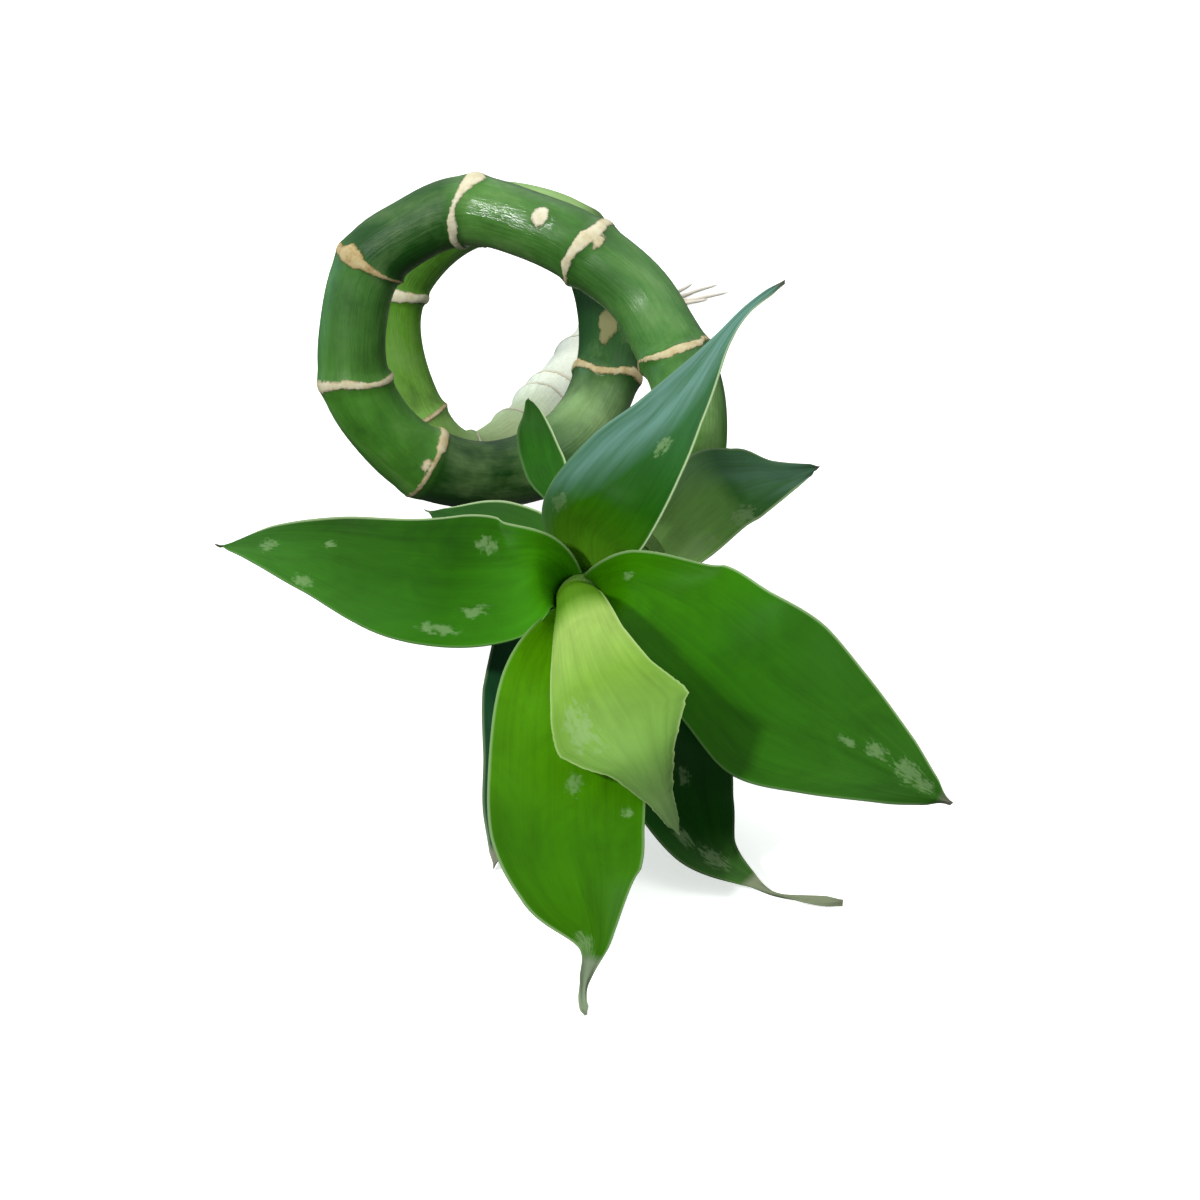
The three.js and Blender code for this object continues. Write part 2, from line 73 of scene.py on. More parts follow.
# The shoot goes on from the last node without rings, under the feet of the leaves.
SHOOT = (
    (13.5, -28.5, 35, 5.2, 0), (10.5, -38, 27.5, 5.1, 0), (4, -44, 21.5, 4.8, 0),
    (-1, -50, 19.5, 4.2, 0), (-2.8, -56.5, 21.5, 3.4, 0), (-3, -63, 24.2, 2.4, 0),
)
SPANS = len(NODES) + len(SHOOT) - 1


# ---------------------------------------------------------------- small tools


def linear(colour: str) -> tuple[float, float, float, float]:
    """Turns an sRGB hex colour into the linear values that a shader takes.

    Args:
        colour: A colour such as "#3f8c14".

    Returns:
        Red, green, blue and a full alpha.
    """
    parts = [int(colour[i:i + 2], 16) / 255 for i in (1, 3, 5)]
    red, green, blue = (p / 12.92 if p <= 0.04045 else ((p + 0.055) / 1.055) ** 2.4 for p in parts)
    return red, green, blue, 1.0


def colour_stops(shades: Sequence[tuple[float, str]]) -> list[tuple[float, tuple[float, ...]]]:
    """Turns places and hex colours into the stops of a colour ramp."""
    return [(at, linear(colour)) for at, colour in shades]


def smoothstep(low: float, high: float, x: float) -> float:
    """Rises smoothly from 0 at low to 1 at high."""
    part = min(max((x - low) / (high - low), 0.0), 1.0)
    return part * part * (3.0 - 2.0 * part)


def lerp(a: float, b: float, part: float) -> float:
    """Goes from a to b as part goes from 0 to 1."""
    return a + (b - a) * part


def to_part(place: Vector) -> Vector:
    """Turns a place of the layout, in millimetres, into metres in the part's own frame."""
    return (place - PLAN_ORIGIN) * MM


def seeded(seed: int) -> Iterator[float]:
    """Draws numbers between 0 and 1, the same ones for the same seed.

    Args:
        seed: Where the row of draws starts.

    Yields:
        The next draw.
    """
    state = seed
    while True:
        state = state * 16807 % 2147483647
        yield state / 2147483647


def upright_to(way: Vector, along: Vector) -> Vector:
    """The part of a direction that stands square to another, made one long."""
    return (way - along * way.dot(along)).normalized()


def add_node(
    tree: bpy.types.NodeTree,
    kind: str,
    settings: dict[Any, Any] | None = None,
    links: dict[Any, Any] | None = None,
) -> bpy.types.Node:
    """Adds a shader node, sets it and links its inputs.

    Args:
        tree: The material's node tree.
        kind: The node's type, without the word ShaderNode before it.
        settings: Values by the name of a property, or by the name or number of an input. "stops"
            are the places and colours of a colour ramp.
        links: Where inputs come from, by name or number: a socket, or a node for its first output.

    Returns:
        The new node.
    """
    node = tree.nodes.new("ShaderNode" + kind)

    def socket(key: Any) -> bpy.types.NodeSocket:
        """Finds an input of the node.

        Args:
            key: Its name, or its number among the inputs in use.

        Returns:
            The input.
        """
        if isinstance(key, int):
            return [s for s in node.inputs if s.enabled][key]
        return next(s for s in node.inputs if s.enabled and s.name == key)

    for key, value in (settings or {}).items():
        if key == "stops":
            ramp = node.color_ramp.elements
            while len(ramp) < len(value):
                ramp.new(0.5)
            for element, (position, colour) in zip(ramp, value):
                element.position = position
                element.color = colour
        elif isinstance(key, str) and hasattr(node, key):
            setattr(node, key, value)
        else:
            socket(key).default_value = value
    for key, source in (links or {}).items():
        if isinstance(source, bpy.types.Node):
            source = next(s for s in source.outputs if s.enabled)
        tree.links.new(source, socket(key))
    return node


def new_material(name: str) -> tuple[bpy.types.Material, bpy.types.NodeTree]:
    """Makes an empty material.

    Args:
        name: Its name.

    Returns:
        The material, and the node tree that its nodes go into.
    """
    made = bpy.data.materials.new(name)
    made.use_nodes = True
    made.node_tree.nodes.clear()
    return made, made.node_tree


def sort_faces(bm: bmesh.types.BMesh) -> None:
    """Puts a mesh's faces in the order of their points, because an extrusion's walls have none.

    Args:
        bm: The mesh.
    """
    bm.verts.index_update()
    count = len(bm.verts)

    def rank(face: bmesh.types.BMFace) -> int:
        """Gives a number that no other face has."""
        numbers = [vert.index for vert in face.verts]
        return min(numbers) * count + max(numbers)

    bm.faces.sort(key=rank)


def mesh_piece(bm: bmesh.types.BMesh, name: str, crease: float = 50.0) -> bpy.types.Object:
    """Turns a finished bmesh into a smooth-shaded object in the scene.

    Args:
        bm: The finished mesh, which is freed.
        name: The object's name.
        crease: Edges that turn by more than this many degrees stay sharp.

    Returns:
        The new object, at the origin.
    """
    mesh = bpy.data.meshes.new(name)
    bm.to_mesh(mesh)
    bm.free()
    mesh.polygons.foreach_set("use_smooth", [True] * len(mesh.polygons))
    mesh.set_sharp_from_angle(angle=math.radians(crease))
    piece = bpy.data.objects.new(name, mesh)
    bpy.context.collection.objects.link(piece)
    return piece


# ---------------------------------------------------------------- lines


class SmoothLine:
    """A smooth line through points, bent as a centripetal Catmull-Rom spline."""

    def __init__(self, points: Sequence[Vector]) -> None:
        """Keeps the points that the line goes through."""
        self.points = [Vector(p) for p in points]

    def at(self, t: float) -> Vector:
        """Gives the place on the line.

        Args:
            t: 0 at the first point and 1 at the last, the same share between every two.

        Returns:
            The place there.
        """
        last = len(self.points) - 1
        span = min(int(t * last), last - 1)
        part = t * last - span
        p1, p2 = self.points[span], self.points[span + 1]
        p0 = self.points[span - 1] if span > 0 else 2 * p1 - p2
        p3 = self.points[span + 2] if span + 2 <= last else 2 * p2 - p1
        d0, d1, d2 = ((b - a).length ** 0.5 for a, b in ((p0, p1), (p1, p2), (p2, p3)))
        start = ((p1 - p0) / d0 - (p2 - p0) / (d0 + d1) + (p2 - p1) / d1) * d1
        end = ((p2 - p1) / d1 - (p3 - p1) / (d1 + d2) + (p3 - p2) / d2) * d1
        square = part * part
        return (
            p1 + start * part + (3 * (p2 - p1) - 2 * start - end) * square
            + (2 * (p1 - p2) + start + end) * square * part
        )

    def way(self, t: float) -> Vector:
        """Gives the line's direction at t."""
        reach = 0.0001
        return (self.at(min(t + reach, 1.0)) - self.at(max(t - reach, 0.0))).normalized()


def smooth_value(values: Sequence[float], t: float) -> float:
    """Reads a smooth curve through evenly spaced values.

    Args:
        values: The values that the curve goes through.
        t: 0 at the first value and 1 at the last.

    Returns:
        The value there.
    """
    last = len(values) - 1
    span = min(int(t * last), last - 1)
    part = t * last - span
    before, here = values[max(span - 1, 0)], values[span]
    there, after = values[span + 1], values[min(span + 2, last)]
    start, end = (there - before) / 2, (after - here) / 2
    return (
        here + start * part + (3 * (there - here) - 2 * start - end) * part ** 2
        + (2 * (here - there) + start + end) * part ** 3
    )


@dataclass
class Station:
    """A place on the cane's centre line.

    Attributes:
        point: Where it is.
        along: The cane's direction there.
        radius: The plain radius there.
        travel: Millimetres along the cane from its first node.
        share: 0 at the first node and 1 at the shoot's tip, the same between every two nodes.
        face: One way out of the cane, carried along it without twisting.
    """

    point: Vector
    along: Vector
    radius: float
    travel: float
    share: float
    face: Vector = field(default_factory=Vector)


class CaneLine(SmoothLine):
    """The cane's centre line: smooth through its nodes, some stretches straighter than others."""

    WAIST = 0.04           # how much thinner the cane is halfway between two nodes
    DIVISIONS = 200        # the coarse lengths by which leaves are spaced
    FINE_DIVISIONS = 5000  # the fine lengths by which the mesh is spaced

    def __init__(self) -> None:
        """Lays the line through the nodes and the shoot, and measures it."""
        marks = NODES + SHOOT
        super().__init__([Vector(m[:3]) for m in marks])
        self.radii = [m[3] for m in marks]
        self.straight = [m[4] for m in marks]
        self.coarse = self.measure(self.DIVISIONS)
        self.fine = self.measure(self.FINE_DIVISIONS)

    def at(self, t: float) -> Vector:
        """Gives the place on the line, drawn towards the straight chord between two nodes.

        Args:
            t: 0 at the first node and 1 at the shoot's tip.

        Returns:
            The place there.
        """
        span = min(int(t * SPANS), SPANS - 1)
        part = t * SPANS - span
        chord = self.points[span].lerp(self.points[span + 1], part)
        return super().at(t).lerp(chord, self.straight[span] * math.sin(math.pi * part) ** 2)

    def measure(self, divisions: int) -> list[float]:
        """Adds up the line's length in straight steps.

        Args:
            divisions: How many steps.

        Returns:
            The length up to each step.
        """
        lengths = [0.0]
        before = self.at(0.0)
        for i in range(1, divisions + 1):
            here = self.at(i / divisions)
            lengths.append(lengths[-1] + (here - before).length)
            before = here
        return lengths

    def share_at(self, travel: float, lengths: list[float]) -> float:
        """Finds the share of the line at a length along it.

        Args:
            travel: Millimetres from the first node.
            lengths: The measured lengths to read it from.

        Returns:
            0 at the first node and 1 at the tip.
        """
        low, high = 0, len(lengths) - 1
        while high - low > 1:
            middle = (low + high) // 2
            if lengths[middle] <= travel:
                low = middle
            else:
                high = middle
        step = (travel - lengths[low]) / (lengths[high] - lengths[low])
        return min(max((low + step) / (len(lengths) - 1), 0.0), 1.0)

    def travel_of(self, node: float) -> float:
        """Gives the length along the cane at a node's number."""
        return self.fine[round(node / SPANS * self.FINE_DIVISIONS)]

    def station(self, share: float, travel: float = 0.0) -> Station:
        """Gives everything that is needed at one place of the cane.

        Args:
            share: 0 at the first node and 1 at the tip.
            travel: The length along the cane there, where it is known.

        Returns:
            The station.
        """
        span = min(int(share * SPANS), SPANS - 1)
        part = share * SPANS - span
        waist = self.WAIST * math.sin(math.pi * part) ** 2 if span < len(NODES) - 1 else 0.0
        radius = lerp(self.radii[span], self.radii[span + 1], part) * (1 - waist)
        return Station(self.at(share), self.way(share), radius, travel, share)

    def beside_shoot(self, back: float) -> Station:
        """Gives the station at a length back from the shoot's tip."""
        travel = self.coarse[-1] - back
        return self.station(self.share_at(travel, self.coarse), travel)


# ---------------------------------------------------------------- marks on the cane


@dataclass(frozen=True)
class Ring:
    """The scar that a fallen leaf left round the cane at a node.

    Attributes:
        node: The number of its node.
        marks: Angle, offset and half width at some angles. The angle is in degrees from the side
            that faces the viewer, positive to the coil's outer side; the others are millimetres.
        tone: Its place on the scars' scale of colours.
    """

    node: int
    marks: tuple[tuple[float, float, float], ...] = ((-90, 0, 0.4), (0, 0, 0.5), (90, 0, 0.35))
    tone: float = PLAIN_TONE

    def read(self, angle: float) -> tuple[float, float]:
        """Gives the ring's offset and half width at an angle.

        Args:
            angle: Degrees from the side that faces the viewer.

        Returns:
            How far along the cane the ring's middle lies from its node, and half its width.
        """
        before, after = self.marks[-1], self.marks[0]
        for one, other in zip(self.marks, self.marks[1:]):
            if one[0] <= angle <= other[0]:
                before, after = one, other
        gap = (after[0] - before[0]) % 360
        part = smoothstep(0, 1, ((angle - before[0]) % 360) / gap)
        return lerp(before[1], after[1], part), lerp(before[2], after[2], part)

    def reach(self) -> tuple[float, float]:
        """Gives how far before and after its node the ring goes at most."""
        return min(m[1] - m[2] for m in self.marks), max(m[1] + m[2] for m in self.marks)


@dataclass(frozen=True)
class Eye:
    """A healed bud scar or a patch on the side of the cane.

    Attributes:
        node: The node that it is measured from.
        ahead: Millimetres past that node.
        angle: Degrees from the side that faces the viewer, positive to the coil's outer side.
        length: Half of its length along the cane, in millimetres.
        width: Half of its width round the cane, in millimetres.
        tone: Its place on the scars' scale of colours.
    """

    node: int
    ahead: float
    angle: float
    length: float
    width: float
    tone: float = 0.1


RINGS = (
    Ring(0, tone=-0.2), Ring(1, tone=-0.2), Ring(2, tone=-0.2), Ring(3, tone=-0.2),
    Ring(4, tone=-0.2), Ring(5, tone=-0.2), Ring(6, tone=-0.2), Ring(7, tone=-0.1),
    Ring(8, ((-70, 0.3, 0.5), (-28, -0.1, 0.6), (60, 0, 0.4)), 0.45),
    Ring(9, ((-70, 2.6, 1.2), (-36, 1.6, 1.1), (-18, 1, 1.2), (30, 0, 0.6), (150, 0.8, 0.5)), 0.15),
    Ring(10), Ring(11, ((-90, 0, 0.4), (-30, 0, 0.3), (20, 0, 0.05), (120, 0, 0.05))),
    Ring(12, ((-67, 2, 1.1), (-50, 2.9, 0.8), (-35, 3.5, 0.7), (-20, 4.2, 0.7), (-5, 4, 0.75),
              (10, 3.5, 0.6), (25, 2.6, 0.7), (50, 1.8, 0.8), (150, 0, 0.5)), 0.5),
    Ring(13),
    Ring(14, ((-70, 0.2, 1.2), (-46, 0.5, 1.2), (-31, 0.6, 1.1), (-21, 0.75, 0.45),
              (5, 0.9, 0.4), (34, 0.8, 0.3), (80, 0.8, 0.25), (160, 0, 0.3)), 0.4),
    Ring(15, ((-60, -0.8, 0.9), (-42, -0.6, 0.7), (-25, -0.1, 0.6), (-9, 0.4, 0.7),
              (4, 0.9, 0.75), (18, 1, 0.55), (40, 1, 0.6), (65, 0.9, 0.8), (150, 0, 0.45)), 0.25),
    Ring(16, ((-75, 1, 0.45), (-50, 0.6, 0.35), (-30, 0.25, 0.6), (0, 0.1, 0.8), (12, 0.1, 1.3),
              (32, 0.1, 1.3), (52, -0.3, 0.6), (150, 0, 0.4)), 0.6),
    Ring(17, ((-60, -1.4, 1.1), (-40, -0.6, 1.2), (-22, -0.4, 1), (-13, 0, 0.6), (0, 0.5, 0.5),
              (13, 1.2, 0.65), (27, 1.9, 0.9), (48, 2.5, 1.3), (90, 2, 0.9), (170, 0.4, 0.6)), 0.15),
    Ring(18, ((-72, 0.4, 0.4), (-58, 0, 0.5), (-45, -0.4, 0.9), (-25, -0.2, 0.75), (-6, 0.05, 1.05),
              (10, 0.25, 1.2), (30, 0.7, 0.95), (60, 0.5, 0.75), (150, 0, 0.5)), 0.2),
    Ring(19, ((-70, 0.6, 0.4), (-52, 2.4, 0.8), (-35, 4.2, 0.95), (-18, 5.2, 1.1), (0, 5.1, 1.1),
              (16, 4.85, 0.9), (37, 4, 0.7), (60, 2.2, 0.4), (130, 0.5, 0.35)), 0.45),
)
EYES = (
    Eye(17, 14, 11, 1.3, 1.9, 0.05),    # the healed bud in the middle of the front coil's top
    Eye(11, 20.8, -5, 2.9, 1.7, 1.4),   # a dull patch inside the rear coil
    Eye(11, 23.6, -13, 1.8, 0.9, 1.4),  # and its lower point
    Eye(18, 1.9, 16, 0.7, 1.3, 0.3),    # a spur of the ring at node 18
    Eye(14, 1.8, 3, 0.6, 1, 0.3),       # and of the one at node 14
)


# ---------------------------------------------------------------- finishes


class Slot(Enum):
    """The material slots of the part's record."""

    STALK = "stalk"
    ROOT = "root"
    LEAF = "leaf"
    BRIGHT = "leaf_bright"
    YOUNG = "leaf_young"


@dataclass(frozen=True)
class CaneFinish:
    """Living cane with a waxy skin: glossy green, dull tan where leaves and buds fell off.

    Attributes:
        name: The material's name.
        skin: Shares of the way from the foot to the shoot's tip, and the skin's colours there, with
            painted shade and light.
        scars: Places on the scars' scale, and the colours of their cork there.
        bloom_and_sheen: Colour of the pale clouds in the green skin.
        shade: Colour of the dark clouds.
        polish: Shares of the same way as for the skin, and how rough the skin is there.
    """

    name: str = "waxy_cane"
    # Painted shade and light along the cane: darker where the coil's inner side and underside lie in
    # shade (near 0.465 and 0.535),
    # a pale painted sheen near 0.5, a lighter lit strip on top of the rear coil near 0.42, and the
    # pale foot painted lighter, to near white.
    skin: tuple[tuple[float, str], ...] = (
        (0.0, "#eef0dc"), (0.1, "#eff3e2"), (0.2, "#e4edd8"), (0.25, "#bfd59c"),
        (0.3, "#83ab58"), (0.34, "#588f1e"), (0.4, "#528628"), (0.42, "#8fb46e"),
        (0.438, "#86aa62"), (0.446, "#2b5a1e"), (0.465, "#0c3f08"), (0.485, "#245418"),
        (0.5, "#7fa266"), (0.515, "#3d6630"), (0.535, "#123c08"),
        (0.558, "#164010"), (0.562, "#417a22"), (0.598, "#458026"), (0.602, "#427626"),
        (0.638, "#467834"), (0.642, "#1c4a14"), (0.678, "#225216"), (0.682, "#52853a"),
        (0.72, "#3f702c"), (0.74, "#4b7e3a"), (0.77, "#437730"), (0.82, "#426f1e"),
        (1.0, "#6f9a3c"),
    )
    scars: tuple[tuple[float, str], ...] = (
        (0.0, "#e2dec4"), (0.3, "#d0c6a0"), (0.6, "#b8a473"), (0.8, "#93774a"), (1.0, "#78784e"),
    )
    bloom_and_sheen: str = "#86a868"
    shade: str = "#0c3606"
    polish: tuple[tuple[float, float], ...] = (
        (0.0, 0.5), (0.44, 0.6), (0.475, 0.7), (0.485, 0.22), (0.52, 0.22), (0.56, 0.45), (0.63, 0.45),
        (0.678, 0.45), (0.684, 0.15), (0.718, 0.15), (0.722, 0.3), (0.78, 0.3), (0.82, 0.7),
    )

    def material(self) -> bpy.types.Material:
        """Builds the cane's material from the mesh's attributes skin, grow, scar and tone.

        Returns:
            The material.
        """
        made, tree = new_material(self.name)
        skin = add_node(tree, "Attribute", {"attribute_name": "skin"}).outputs["Vector"]
        grow, scar, tone = (
            add_node(tree, "Attribute", {"attribute_name": name}).outputs["Fac"]
            for name in ("grow", "scar", "tone"))
        # The skin's colour along the cane, with the painted shade and light of its table.
        plain = add_node(tree, "ValToRGB", {"stops": colour_stops(self.skin)}, {"Fac": grow})
        # Striations run along the cane, 0.5 mm apart and some 8 mm long, with 1 mm mottles.
        stretched = add_node(
            tree, "Mapping", {"Scale": (1.0, 1.0, 0.06)}, {"Vector": skin})
        lines = add_node(
            tree, "TexNoise", {"Scale": 2.0, "Detail": 4.0, "Roughness": 0.6},
            {"Vector": stretched})
        mottles = add_node(
            tree, "TexNoise", {"Scale": 0.9, "Detail": 3.0, "Roughness": 0.6}, {"Vector": skin})
        # Pale and dark clouds, 7 mm across and 12 mm long, lie in the green skin alone.
        greened = add_node(tree, "MapRange", {"From Min": 0.2, "From Max": 0.32}, {"Value": grow})
        drawn = add_node(
            tree, "Mapping", {"Location": (3.0, 8.0, 2.0), "Scale": (1.0, 1.0, 0.6)},
            {"Vector": skin})
        clouds = add_node(
            tree, "TexNoise", {"Scale": 0.14, "Detail": 4.0, "Roughness": 0.55, "Distortion": 0.3},
            {"Vector": drawn})
        pale = add_node(
            tree, "MapRange", {"From Min": 0.5, "From Max": 0.75, "To Max": 0.4},
            {"Value": clouds})
        paled = add_node(tree, "Math", {"operation": "MULTIPLY"}, {0: pale, 1: greened})
        dark = add_node(
            tree, "MapRange", {"From Min": 0.5, "From Max": 0.3, "To Max": 0.5},
            {"Value": clouds})
        darkened = add_node(tree, "Math", {"operation": "MULTIPLY"}, {0: dark, 1: greened})
        bloomed = add_node(
            tree, "Mix", {"data_type": "RGBA", "B": linear(self.bloom_and_sheen)},
            {"Factor": paled, "A": plain})
        shaded = add_node(
            tree, "Mix", {"data_type": "RGBA", "B": linear(self.shade)},
            {"Factor": darkened, "A": bloomed})
        lined = add_node(
            tree, "Math", {"operation": "MULTIPLY_ADD", 1: 0.35, 2: 0.66}, {0: lines})
        value = add_node(
            tree, "Math", {"operation": "MULTIPLY_ADD", 1: 0.33}, {0: mottles, 2: lined})
        green = add_node(tree, "HueSaturation", {}, {"Color": shaded, "Value": value})
        # Ragged rims: the distance to a scar's rim, moved by some 0.2 mm in steps of 0.7 mm.
        rag = add_node(
            tree, "TexNoise", {"Scale": 1.5, "Detail": 4.0, "Roughness": 0.65}, {"Vector": skin})
        ragged = add_node(
            tree, "Math", {"operation": "MULTIPLY_ADD", 1: 0.9}, {0: rag, 2: scar})
        inside = add_node(
            tree, "MapRange", {"From Min": 0.5, "From Max": 0.38}, {"Value": ragged})
        core = add_node(
            tree, "MapRange", {"From Min": 0.42, "From Max": 0.12}, {"Value": ragged})
        # The corky tissue is blotched, pale and brown, in spots of 1.5 mm.
        spots = add_node(
            tree, "TexNoise", {"Scale": 0.7, "Detail": 3.0, "Roughness": 0.6}, {"Vector": skin})
        blotched = add_node(
            tree, "Math", {"operation": "MULTIPLY_ADD", 1: 0.8, 2: -0.4}, {0: spots})
        shifted = add_node(tree, "Math", {"operation": "ADD"}, {0: blotched, 1: tone})
        cork = add_node(tree, "ValToRGB", {"stops": colour_stops(self.scars)}, {"Fac": shifted})
        burnt = add_node(tree, "HueSaturation", {"Value": 0.5, "Saturation": 1.15}, {"Color": cork})
        rimmed = add_node(
            tree, "Mix", {"data_type": "RGBA"}, {"Factor": core, "A": burnt, "B": cork})
        colour = add_node(
            tree, "Mix", {"data_type": "RGBA"}, {"Factor": inside, "A": green, "B": rimmed})
        # The skin's roughness along the cane: a waxy bloom dulls it, and handling polishes it.
        worn = add_node(
            tree, "ValToRGB", {"stops": [(at, (r, r, r, 1.0)) for at, r in self.polish]},
            {"Fac": grow})
        rough = add_node(tree, "MapRange", {"To Max": 0.75}, {"Value": inside, "To Min": worn})
        relief = add_node(
            tree, "Math", {"operation": "MULTIPLY_ADD", 1: 0.6}, {0: clouds, 2: lines})
        height = add_node(
            tree, "Math", {"operation": "MULTIPLY_ADD", 1: 0.8}, {0: inside, 2: relief})
        bump = add_node(
            tree, "Bump", {"Strength": 0.6, "Distance": 0.00025}, {"Height": height})
        shader = add_node(
            tree, "BsdfPrincipled", {"IOR": 1.45, "Specular IOR Level": 0.3},
            {"Base Color": colour, "Roughness": rough, "Normal": bump})
        add_node(tree, "OutputMaterial", {}, {"Surface": shader})
        return made


@dataclass(frozen=True)
class BladeFinish:
    """A living leaf blade: parallel veins under a waxy skin, with a pale rim and a dry tip.

    Attributes:
        name: The material's name.
        shades: Shares of the way to the tip, and the upper face's colours there, on some blades with
            painted shade and light.
        under: Colour of the lower face.
        turned: How much of that colour the lower face has.
        side_light: Painted light and shade across the blade: how much brighter the right margin is
            than the middle.
        cloudy: How strong the lighter and darker clouds are.
        margin: Colour of the painted highlight along the thin rim, where the edge catches the light.
        rimmed: How much of that painted highlight the left and the right rim have.
        scuff: Colour where the skin is rubbed.
        dry: Colour of the withered point.
        withered: Share of the blade at which that begins.
        bloom_and_sheen: Colour of the painted blue-grey sheen, the sky's reflection, on the blade.
        sheened: How much of that painted sheen there is.
        roughness: Of the skin.
        seed: Moves the patterns, so that no two blades are alike.
    """

    name: str
    shades: tuple[tuple[float, str], ...]
    under: str = "#4c6e34"
    turned: float = 0.8
    side_light: float = 0.0
    cloudy: float = 0.9
    margin: str = "#b4cc98"
    rimmed: tuple[float, float] = (0.5, 0.5)
    scuff: str = "#88a572"
    dry: str = "#7d7c6c"
    withered: float = 0.97
    bloom_and_sheen: str = "#7d9c98"
    sheened: float = 0.0
    roughness: float = 0.45
    seed: float = 0.0

    def material(self) -> bpy.types.Material:
        """Builds the blade's material from the mesh's attributes blade and growth.

        Returns:
            The material.
        """
        made, tree = new_material(self.name)
        blade = add_node(tree, "Attribute", {"attribute_name": "blade"}).outputs["Vector"]
        growth = add_node(tree, "Attribute", {"attribute_name": "growth"}).outputs["Vector"]
        side, _, rim = add_node(tree, "SeparateXYZ", {}, {"Vector": blade}).outputs
        travel, under, rubbed = add_node(tree, "SeparateXYZ", {}, {"Vector": growth}).outputs
        upper = add_node(tree, "ValToRGB", {"stops": colour_stops(self.shades)}, {"Fac": travel})
        lower = add_node(tree, "MapRange", {"To Max": self.turned}, {"Value": under})
        plain = add_node(
            tree, "Mix", {"data_type": "RGBA", "B": linear(self.under)},
            {"Factor": lower, "A": upper})
        # Veins 1 mm apart: some eleven in each half of a wide blade, converging on its tip.
        veins_at = add_node(
            tree, "Mapping", {"Location": (self.seed, 0.0, self.seed), "Scale": (11.0, 0.02, 0.0)},
            {"Vector": blade})
        veins = add_node(
            tree, "TexNoise", {"Scale": 1.0, "Detail": 4.0, "Roughness": 0.65},
            {"Vector": veins_at})
        # Lighter and darker clouds, 6 mm wide in a wide blade, and twice as long.
        clouds_at = add_node(
            tree, "Mapping", {"Location": (0.0, self.seed, 0.0), "Scale": (1.6, 0.09, 0.0)},
            {"Vector": blade})
        clouds = add_node(
            tree, "TexNoise", {"Scale": 1.0, "Detail": 5.0, "Roughness": 0.6, "Distortion": 0.8},
            {"Vector": clouds_at})
        # Painted light and shade across the blade: one side lighter than the other, as the light falls
        # on it.
        side_lit = add_node(
            tree, "Math", {"operation": "MULTIPLY_ADD", 1: self.side_light, 2: 0.75 - self.cloudy / 2},
            {0: side})
        fine = add_node(
            tree, "Math", {"operation": "MULTIPLY_ADD", 1: 0.5}, {0: veins, 2: side_lit})
        value = add_node(
            tree, "Math", {"operation": "MULTIPLY_ADD", 1: self.cloudy}, {0: clouds, 2: fine})
        green = add_node(tree, "HueSaturation", {}, {"Color": plain, "Value": value})
        # Painted sheen, the sky's blue-grey reflection, lies in stripes some 1.5 mm wide, on the left
        # margin first and then over the tip.
        slant = add_node(
            tree, "Math", {"operation": "MULTIPLY_ADD", 1: -0.28}, {0: side, 2: travel})
        reach = add_node(
            tree, "MapRange", {"From Min": 0.42, "From Max": 0.6, "To Max": self.sheened},
            {"Value": slant})
        stripes_at = add_node(
            tree, "Mapping", {"Location": (self.seed, 0.0, 0.0), "Scale": (3.2, 0.03, 0.0)},
            {"Vector": blade})
        stripes = add_node(
            tree, "TexNoise", {"Scale": 1.0, "Detail": 3.0, "Roughness": 0.6},
            {"Vector": stripes_at})
        striped = add_node(
            tree, "MapRange", {"From Min": 0.36, "From Max": 0.56, "To Min": 0.3},
            {"Value": stripes})
        sheen_mask = add_node(tree, "Math", {"operation": "MULTIPLY"}, {0: reach, 1: striped})
        sheened = add_node(
            tree, "Mix", {"data_type": "RGBA", "B": linear(self.bloom_and_sheen)},
            {"Factor": sheen_mask, "A": green})
        # Rubbed places: ragged flecks of about 1 mm, in and around the marked spots.
        flecks_at = add_node(
            tree, "Mapping", {"Location": (self.seed, 0.0, 0.0), "Scale": (11.0, 0.9, 0.0)},
            {"Vector": blade})
        flecks = add_node(
            tree, "TexNoise", {"Scale": 1.0, "Detail": 4.0, "Roughness": 0.6},
            {"Vector": flecks_at})
        chance = add_node(
            tree, "Math", {"operation": "MULTIPLY_ADD", 1: 0.5}, {0: rubbed, 2: flecks})
        fleck = add_node(
            tree, "MapRange", {"From Min": 0.78, "From Max": 0.95, "To Max": 0.4},
            {"Value": chance})
        scuffed = add_node(
            tree, "Mix", {"data_type": "RGBA", "B": linear(self.scuff)},
            {"Factor": fleck, "A": sheened})
        withered = add_node(
            tree, "MapRange", {"From Min": self.withered, "From Max": self.withered + 0.025},
            {"Value": travel})
        dried = add_node(
            tree, "Mix", {"data_type": "RGBA", "B": linear(self.dry)},
            {"Factor": withered, "A": scuffed})
        # Painted highlight where the edge catches the light: a pale rim some 0.3 mm wide, of its own
        # strength on each side, lost in the folds of the foot.
        margin = add_node(
            tree, "MapRange", {"From Min": 0.4, "From Max": 0.15}, {"Value": rim})
        strength = add_node(
            tree, "MapRange", {"From Min": -0.1, "From Max": 0.1, "To Min": self.rimmed[0],
                               "To Max": self.rimmed[1]}, {"Value": side})
        beyond = add_node(
            tree, "MapRange", {"From Min": 0.1, "From Max": 0.2}, {"Value": travel})
        open_rim = add_node(tree, "Math", {"operation": "MULTIPLY"}, {0: margin, 1: beyond})
        thin = add_node(tree, "Math", {"operation": "MULTIPLY"}, {0: open_rim, 1: strength})
        rimmed = add_node(
            tree, "Mix", {"data_type": "RGBA", "B": linear(self.margin)},
            {"Factor": thin, "A": dried})
        bump = add_node(
            tree, "Bump", {"Strength": 0.5, "Distance": 0.0001}, {"Height": veins})
        shader = add_node(
            tree, "BsdfPrincipled",
            {"IOR": 1.45, "Specular IOR Level": 0.06, "Roughness": self.roughness},
            {"Base Color": rimmed, "Normal": bump})
        add_node(tree, "OutputMaterial", {}, {"Surface": shader})
        return made


